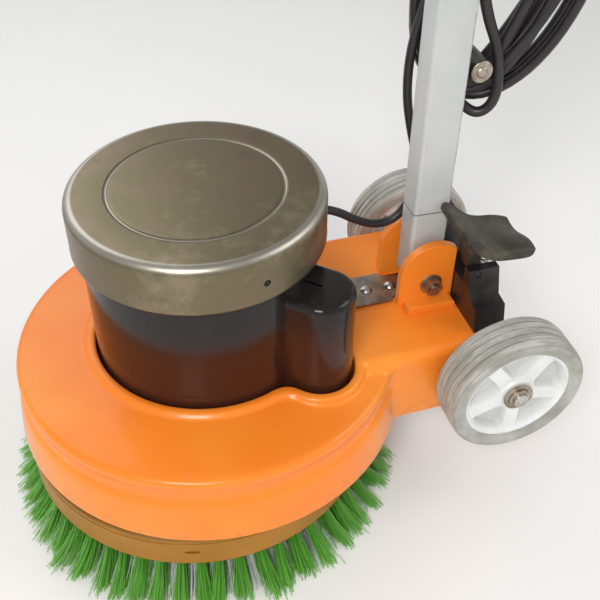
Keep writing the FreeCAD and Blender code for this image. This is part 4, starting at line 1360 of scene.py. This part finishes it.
class Hinge:
    """Ears, plate, bolts, tube and bobbins of the handle."""

    def __init__(self, machine: Machine) -> None:
        """Keeps the machine."""
        self.machine = machine

    def build(self) -> None:
        """Makes the hinge's and the handle's rigid pieces."""
        soften = self.machine.soften
        for name, width in (("hinge_ears", 2.4), ("hinge_plate", 0.8), ("hinge_plate_bolts", 0.35),
                            ("pivot_bolt", 0.5), ("handle_tube", 0.5), ("cord_hooks", 1.4),
                            ("chassis_plate", 0.8), ("pivot_bush", 0.5)):
            soften(name, width)
        self._bobbin_screws()

    def _bobbin_screws(self) -> None:
        """Rusty washer-headed screw on the near end of each bobbin."""
        low, high = node_box("cord_hooks")
        tube_low, tube_high = node_box("handle_tube")
        skin = Skin()
        for z in (low[2] + 14.0, high[2] - 14.0):
            centre = (0.0, tube_high[1] + 17.25, z)
            x = high[0]
            profile = [(0.0, x + 3.0), (4.0, x + 2.7), (5.6, x + 1.7), (5.9, x + 0.9), (10.8, x + 0.8),
                       (11.3, x + 0.3), (11.3, x - 0.5), (0.0, x - 0.5)]
            skin.turned(np.array(profile), centre, Axis.ACROSS, 40)
        self.machine.add(skin.build("bobbin_screws", 40.0), slot="rusty_steel", body="handle")


class Pedal:
    """Foot pedal and the stepped moulding behind the ears."""

    def __init__(self, machine: Machine) -> None:
        """Reads the pedal's width off its node."""
        self.machine = machine
        low, high = node_box("foot_pedal")
        self.left, self.right = low[0], high[0]

    def build(self) -> None:
        """Makes the pedal and softens the moulding."""
        self._tread()
        for name, width in (("rear_cover", 2.2), ("pedal_pin", 0.3)):
            self.machine.soften(name, width, 3)

    def _tread(self) -> None:
        """Dished tread: ribs on its rising front, a wavy rear edge and a boss on the pin.

        The section is a closed line in (y, z). Its top is lifted by ribs, a sine across the width that
        fades in from the hollow to the front edge, and its rear part by a long wave across the width.
        """
        top = rounded([(271, 330.5), (276, 329.5), (288, 320), (303, 308.5), (316, 304.5), (332, 304),
                       (346, 301), (352.5, 298)], 2)
        under = rounded([(352.5, 298), (351, 291.5), (345, 290), (322, 293), (299, 297.5), (284, 308.5),
                         (270.5, 321.5), (268.5, 326), (271, 330.5)], 2)
        loop = np.concatenate([evenly(top, 64)[:-1], evenly(under, 40)[:-1]])
        upper = (np.arange(len(loop)) < 63).astype(float)
        x = np.concatenate([[self.left], self.left + 1.2 * (1 - np.cos(np.linspace(0.3, 1.5, 5))),
                            np.linspace(self.left + 2.5, self.right - 2.5, 150),
                            self.right - 1.2 * (1 - np.cos(np.linspace(1.5, 0.3, 5))), [self.right]])
        y, z = np.broadcast_arrays(loop[None, :, 0], loop[None, :, 1])
        across = x[:, None]
        middle = np.array([315.0, 302.0])
        round_off = np.clip(np.minimum(across - self.left, self.right - across) / 3.0, 0, 1)
        shrink = 1.0 - 0.10 * (1 - np.sqrt(1 - (1 - round_off) ** 2))
        rib = np.cos(across * math.tau / 6.2) * np.clip((306 - y) / 14, 0, 1) * np.clip((y - 272) / 5, 0, 1)
        share = (across - self.left) / (self.right - self.left)
        wave = 4.2 * np.sin((share - 0.52) * math.tau * 0.85) * np.clip((y - 312) / 34, 0, 1)
        swell = np.sin(across * 0.11) * 0.5
        yy = middle[0] + (y - middle[0]) * shrink + 0 * across
        zz = z + (z - self._spine(y)) * (shrink - 1) + rib * 1.0 * upper * round_off + wave + swell
        grid = np.stack([across + 0 * yy, yy, zz], -1)
        skin = Skin().grid(grid, wrap_v=True)
        for end in (grid[0], grid[-1]):
            centre = np.stack([end[:, 0], end[:, 1], self._spine(end[:, 1])], 1)
            skin.grid(np.stack([end, end * 0.35 + centre * 0.65, centre]), wrap_v=True)
        self._boss(skin)
        self.machine.add(skin.build("pedal_tread", 42.0), "foot_pedal")

    @staticmethod
    def _spine(y: np.ndarray) -> np.ndarray:
        """Middle height of the tread's section."""
        return np.interp(y, [268, 285, 300, 320, 350], [326, 313.5, 303, 298.5, 295])

    @staticmethod
    def _boss(skin: Skin) -> None:
        """Adds the boss between tread and pin."""
        side = rounded([(294, 254), (310, 254), (308, 299), (292, 302)], 2, closed=True)
        centre = side.mean(0)
        rows = []
        for x, keep in ((31, 0.0), (31, 0.9), (32, 1.0), (54, 1.0), (55, 0.9), (55, 0.0)):
            outline = centre + (side - centre) * keep
            rows.append(np.column_stack([np.full(len(side), float(x)), outline]))
        skin.grid(np.stack(rows), wrap_v=True)


class Head:
    """Switch box, grips, triggers and button at the top of the handle."""

    def __init__(self, machine: Machine) -> None:
        """Reads the grips' place off their node."""
        self.machine = machine
        low, high = node_box("hand_grips")
        self.centre = (0.0, (low[1] + high[1]) / 2, (low[2] + high[2]) / 2)
        self.radius = (high[2] - low[2]) / 2
        self.reach = high[0]

    def build(self) -> None:
        """Makes the head."""
        for name, width in (("switch_box_front", 0.8), ("switch_box_rear", 0.8), ("trigger_left", 1.6),
                            ("trigger_right", 1.6), ("lock_button", 1.2), ("grip_bar", 0.3),
                            ("cord_gland", 0.6), ("mains_plug", 0.7), ("plug_pins", 0.5)):
            self.machine.soften(name, width)
        skin = Skin()
        for side in (-1.0, 1.0):
            skin.turned(self._grip_profile(side), self.centre, Axis.ACROSS, 64)
        self.machine.add(skin.build("ribbed_grips", 50.0), "hand_grips")

    def _grip_profile(self, side: float) -> np.ndarray:
        """Sleeve with a flange, rings round it and a domed end."""
        start, end, r = 90.0, self.reach, self.radius
        points = [(12.0, start), (r, start), (r, start + 5), (r - 2.2, start + 6)]
        for k in range(24):
            x = start + 9 + k * 4.6
            points += [(r - 2.2, x), (r - 0.7, x + 0.9), (r - 0.7, x + 2.4), (r - 2.2, x + 3.3)]
        points += [(r - 1.8, end - 7), (r - 2.2, end - 4), (r - 6, end - 0.6), (3.0, end), (0.0, end),
                   (0.0, end - 4), (12.0, end - 4), (12.0, start)]
        profile = np.array(points)
        profile[:, 1] *= side
        return profile


# ------------------------------------------------------------------ cords
@dataclass
class Cable:
    """A route that grows point by point, in millimetres."""

    diameter: float
    points: list[np.ndarray] = field(default_factory=list)

    def through(self, *places: Sequence[float]) -> "Cable":
        """Adds points."""
        self.points += [np.array(place, float) for place in places]
        return self

    def length(self) -> float:
        """Length of the smoothed route, in metres."""
        line = rounded(np.array(self.points), 4)
        return float(np.linalg.norm(np.diff(line, axis=0), axis=1).sum()) * MM

    def curve(self, name: str) -> bpy.types.Object:
        """Makes a round curve object along the route."""
        data = bpy.data.curves.new(name, "CURVE")
        data.dimensions = "3D"
        data.bevel_depth = self.diameter / 2 * MM
        data.bevel_resolution = 3
        data.resolution_u = 5
        data.render_resolution_u = 5
        spline = data.splines.new("NURBS")
        spline.points.add(len(self.points) - 1)
        flat = np.ones((len(self.points), 4), np.float32)
        flat[:, :3] = np.array(self.points) * MM
        spline.points.foreach_set("co", flat.ravel())
        spline.order_u = 3
        spline.use_endpoint_u = True
        data.use_fill_caps = True
        made = bpy.data.objects.new(name, data)
        bpy.context.scene.collection.objects.link(made)
        return made


class MainsCord:
    """Mains cord: out of the gland, eleven turns over the two bobbins, then down to the plug.

    The turns lie in an upright plane that slants from beside the tube to behind it. A turn follows
    stations between an inner and an outer outline. Each turn has its own lane: a share of the way
    from inner to outer, and a distance off the plane. Along the turn it drifts to the next one's lane.
    """

    DIAMETER = 11.0
    STATIONS = (
        ((90, 765), (152, 770)), ((104, 712), (163, 712)), ((112, 655), (168, 650)),
        ((104, 592), (161, 580)), ((80, 535), (142, 500)), ((64, 488), (106, 443)),
        ((46, 453), (60, 417)), ((27, 455), (10, 431)), ((16, 484), (-17, 474)),
        ((16, 575), (-18, 570)), ((16, 680), (-18, 680)), ((16, 785), (-18, 790)),
        ((16, 868), (-18, 866)), ((28, 895), (10, 914)), ((50, 903), (58, 937)),
        ((69, 868), (110, 890)), ((82, 815), (141, 832)))
    LANES = ((0.84, 1.0), (0.84, -9.5), (0.84, -20.5), (0.5, -20.5), (0.5, -9.5), (0.5, 1.0), (0.5, 10.5),
             (0.16, -9.5), (0.16, 1.0), (0.16, 10.5))

    def __init__(self, machine: Machine) -> None:
        """Keeps the machine and works out the plane's directions."""
        self.machine = machine
        self.run = np.array([50.0, 110.0, 0.0]) / math.hypot(50.0, 110.0)
        self.off = np.array([self.run[1], -self.run[0], 0.0])
        self.rng = np.random.default_rng(7)

    def spot(self, s: float, z: float, n: float) -> np.ndarray:
        """Point at s along the plane, z up and n off it."""
        return np.array([-45.0, 262.0, z]) + self.run * s + self.off * n

    def turns(self, cable: Cable) -> None:
        """Adds the wound turns."""
        count = len(self.STATIONS)
        lanes = np.array(self.LANES + (self.LANES[-1],))
        drift_f = self.rng.normal(0, 0.035, (len(self.LANES), 3))
        drift_n = self.rng.normal(0, 0.9, (len(self.LANES), 3))
        sag = self.rng.normal(0, 2.2, len(self.LANES))
        for k in range(len(self.LANES)):
            for i, (inner, outer) in enumerate(self.STATIONS):
                phase = i / count
                share, n = lanes[k] * (1 - phase) + lanes[k + 1] * phase
                waves = np.sin(math.tau * (phase * np.array([1, 2, 3]) + k * 0.37))
                share = share + drift_f[k] @ waves
                place = np.array(inner) * (1 - share) + np.array(outer) * share
                rear = 1.0 if 1 <= i <= 4 else 0.0
                cable.through(self.spot(place[0] + rear * sag[k], place[1], n + drift_n[k] @ waves))

    def build(self) -> None:
        gland = (30.0, 331.0, 996.0)
        cable = Cable(self.DIAMETER)
        cable.through(gland, (30, 345, 996), (30, 365, 995), (29.5, 392, 989), (28.5, 417, 976),
                      (26, 437, 953), (22.5, 449, 926), (18.5, 451, 896), (16, 446, 866), (14.5, 436, 838),
                      (13.5, 423, 815), (13, 409, 793))
        self.turns(cable)
        cable.through((-16, 313, 902), (-5, 321, 888), (-1, 322, 862), (2, 316, 815), (3, 306, 760),
                      (3, 297, 700), (3, 292, 640), (2, 290.5, 590), (1, 293, 552), (0, 304, 520),
                      (0, 318, 492), (0, 324.5, 462), (-1, 326, 440), (-3, 322, 424), (-7, 311, 416),
                      (-14, 300, 421), (-24, 286, 436), (-33, 270, 455), (-40, 256, 478), (-43, 246, 512),
                      (-42, 246, 580), (-41, 246, 680), (-41, 246, 780), (-40, 248, 860), (-34, 259, 905),
                      (-20, 281, 934), (-4, 309, 940), (10, 336, 917), (22, 356, 872), (33, 368, 818),
                      (41, 372.5, 770), (43.42, 373.4, 740), (43.42, 373.4, 716), (43.42, 373.4, 706))
        piece = cable.curve("mains_cable")
        self.machine.add(piece, "mains_cord", "cord_hank")
        LOG.info("mains cord %.2f m", cable.length())


class MotorLead:
    """Motor lead: over the hinge in a slack bow, then up the far side of the tube."""

    DIAMETER = 9.5
    ROUTE = ((-20, 134, 320), (-20, 148, 320), (-20, 168, 313), (-20, 190, 297), (-20.7, 213, 285),
             (-21.5, 235, 286), (-22, 250, 302), (-22, 257, 325), (-22, 259, 345), (-24, 255, 370),
             (-27, 248, 398), (-29.5, 242, 430), (-30, 240, 462), (-29, 242, 496), (-26, 250, 536),
             (-23.5, 256, 580), (-22.3, 259, 640), (-22, 260, 720), (-22.2, 259.5, 800), (-23.5, 258.5, 870),
             (-27, 256, 925), (-29.5, 254, 955), (-30, 253, 975))
    SIDES = 20

    def __init__(self, machine: Machine) -> None:
        """Keeps the machine."""
        self.machine = machine

    def build(self) -> None:
        """Makes the lead as one tube along its route from the base up the handle."""
        path = evenly(rounded(self.ROUTE, 3), 320)
        ahead = np.gradient(path, axis=0)
        ahead /= np.linalg.norm(ahead, axis=1)[:, None]
        side = np.cross(ahead, [1.0, 0.0, 0.0])
        side /= np.linalg.norm(side, axis=1)[:, None]
        other = np.cross(ahead, side)
        turn = np.arange(self.SIDES) * math.tau / self.SIDES
        ring = np.cos(turn)[None, :, None] * side[:, None] + np.sin(turn)[None, :, None] * other[:, None]
        tube = path[:, None] + ring * self.DIAMETER / 2
        caps = [np.repeat(path[:1, None], self.SIDES, 1), tube, np.repeat(path[-1:, None], self.SIDES, 1)]
        piece = Skin().grid(np.concatenate(caps), wrap_v=True).build("motor_cable", 60.0)
        self.machine.finishes["cord_rubber"].dress(piece)
        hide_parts("motor_lead", "motor_lead_slack")
        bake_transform(piece)


# ------------------------------------------------------------------ studio
class Studio:
    """Camera, lights, floor and surroundings."""

    EYE = (0.7166, -0.1036, 0.8826)
    ACROSS = (0.29185, 0.95642, 0.00956)
    UP = (-0.63812, 0.18726, 0.74682)
    BACK = (0.71248, -0.22406, 0.66496)
    LENS = 53.88

    def build(self) -> None:
        """Sets everything up."""
        self._camera()
        self._floor()
        self._world()
        self._lamp("key", (1.45, -0.70, 1.70), (0.0, 0.1, 0.25), 0.7, 27.0, (1.0, 0.985, 0.96))
        self._lamp("fill", (-1.3, -0.5, 1.6), (0.0, 0.1, 0.3), 1.4, 10.0, (0.97, 0.985, 1.0))
        self._lamp("rim", (0.6, 1.8, 1.6), (0.0, 0.2, 0.3), 1.2, 12.0, (1.0, 1.0, 1.0))
        bpy.context.scene.view_settings.view_transform = "Standard"

    def _camera(self) -> None:
        """Puts the camera in place."""
        data = bpy.data.cameras.new("camera")
        data.lens = self.LENS
        data.sensor_width = 36.0
        data.clip_start = 0.05
        camera = bpy.data.objects.new("camera", data)
        turn = Matrix((self.ACROSS, self.UP, self.BACK)).transposed().to_4x4()
        camera.matrix_world = Matrix.Translation(self.EYE) @ turn
        bpy.context.scene.collection.objects.link(camera)
        bpy.context.scene.camera = camera

    @staticmethod
    def _floor() -> None:
        """Wide pale floor."""
        half = 6000.0
        corners = np.array([[[-half, -half, 0], [half, -half, 0]], [[-half, half, 0], [half, half, 0]]])
        floor = Skin().grid(corners).build("floor", outward=False)
        floor.data.flip_normals()
        PlainFloor().dress(floor)
        floor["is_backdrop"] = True

    @staticmethod
    def _world() -> None:
        """Soft grey room, lighter towards the horizon."""
        world = bpy.data.worlds.new("room")
        world.use_nodes = True
        tree = world.node_tree
        tree.nodes.clear()
        place = tree.nodes.new("ShaderNodeTexCoord")
        parts = tree.nodes.new("ShaderNodeSeparateXYZ")
        ramp = tree.nodes.new("ShaderNodeValToRGB")
        shade = tree.nodes.new("ShaderNodeBackground")
        out = tree.nodes.new("ShaderNodeOutputWorld")
        tree.links.new(place.outputs["Generated"], parts.inputs[0])
        tree.links.new(parts.outputs["Z"], ramp.inputs["Fac"])
        tree.links.new(ramp.outputs["Color"], shade.inputs["Color"])
        tree.links.new(shade.outputs[0], out.inputs["Surface"])
        first, last = ramp.color_ramp.elements
        first.position, first.color = 0.0, (0.95, 0.95, 0.95, 1.0)
        last.position, last.color = 0.75, (0.46, 0.455, 0.45, 1.0)
        shade.inputs["Strength"].default_value = 0.85
        bpy.context.scene.world = world

    @staticmethod
    def _lamp(name: str, place: Sequence[float], aim: Sequence[float], size: float, power: float,
              colour: Colour) -> None:
        """Adds a square area light that faces a point."""
        data = bpy.data.lights.new(name, "AREA")
        data.size = size
        data.energy = power
        data.color = colour
        lamp = bpy.data.objects.new(name, data)
        heading = Vector(place) - Vector(aim)
        lamp.matrix_world = Matrix.Translation(place) @ heading.to_track_quat("Z", "Y").to_matrix().to_4x4()
        bpy.context.scene.collection.objects.link(lamp)


def main() -> None:
    """Builds the scene."""
    logging.basicConfig(level=logging.INFO)
    machine = Machine()
    for part in (Head(machine), Deck(machine), Motor(machine), Brush(machine), Wheels(machine),
                 Hinge(machine), Pedal(machine), MainsCord(machine), MotorLead(machine), Studio()):
        part.build()
        LOG.info("%s built", type(part).__name__)


if __name__ == "__main__":
    main()
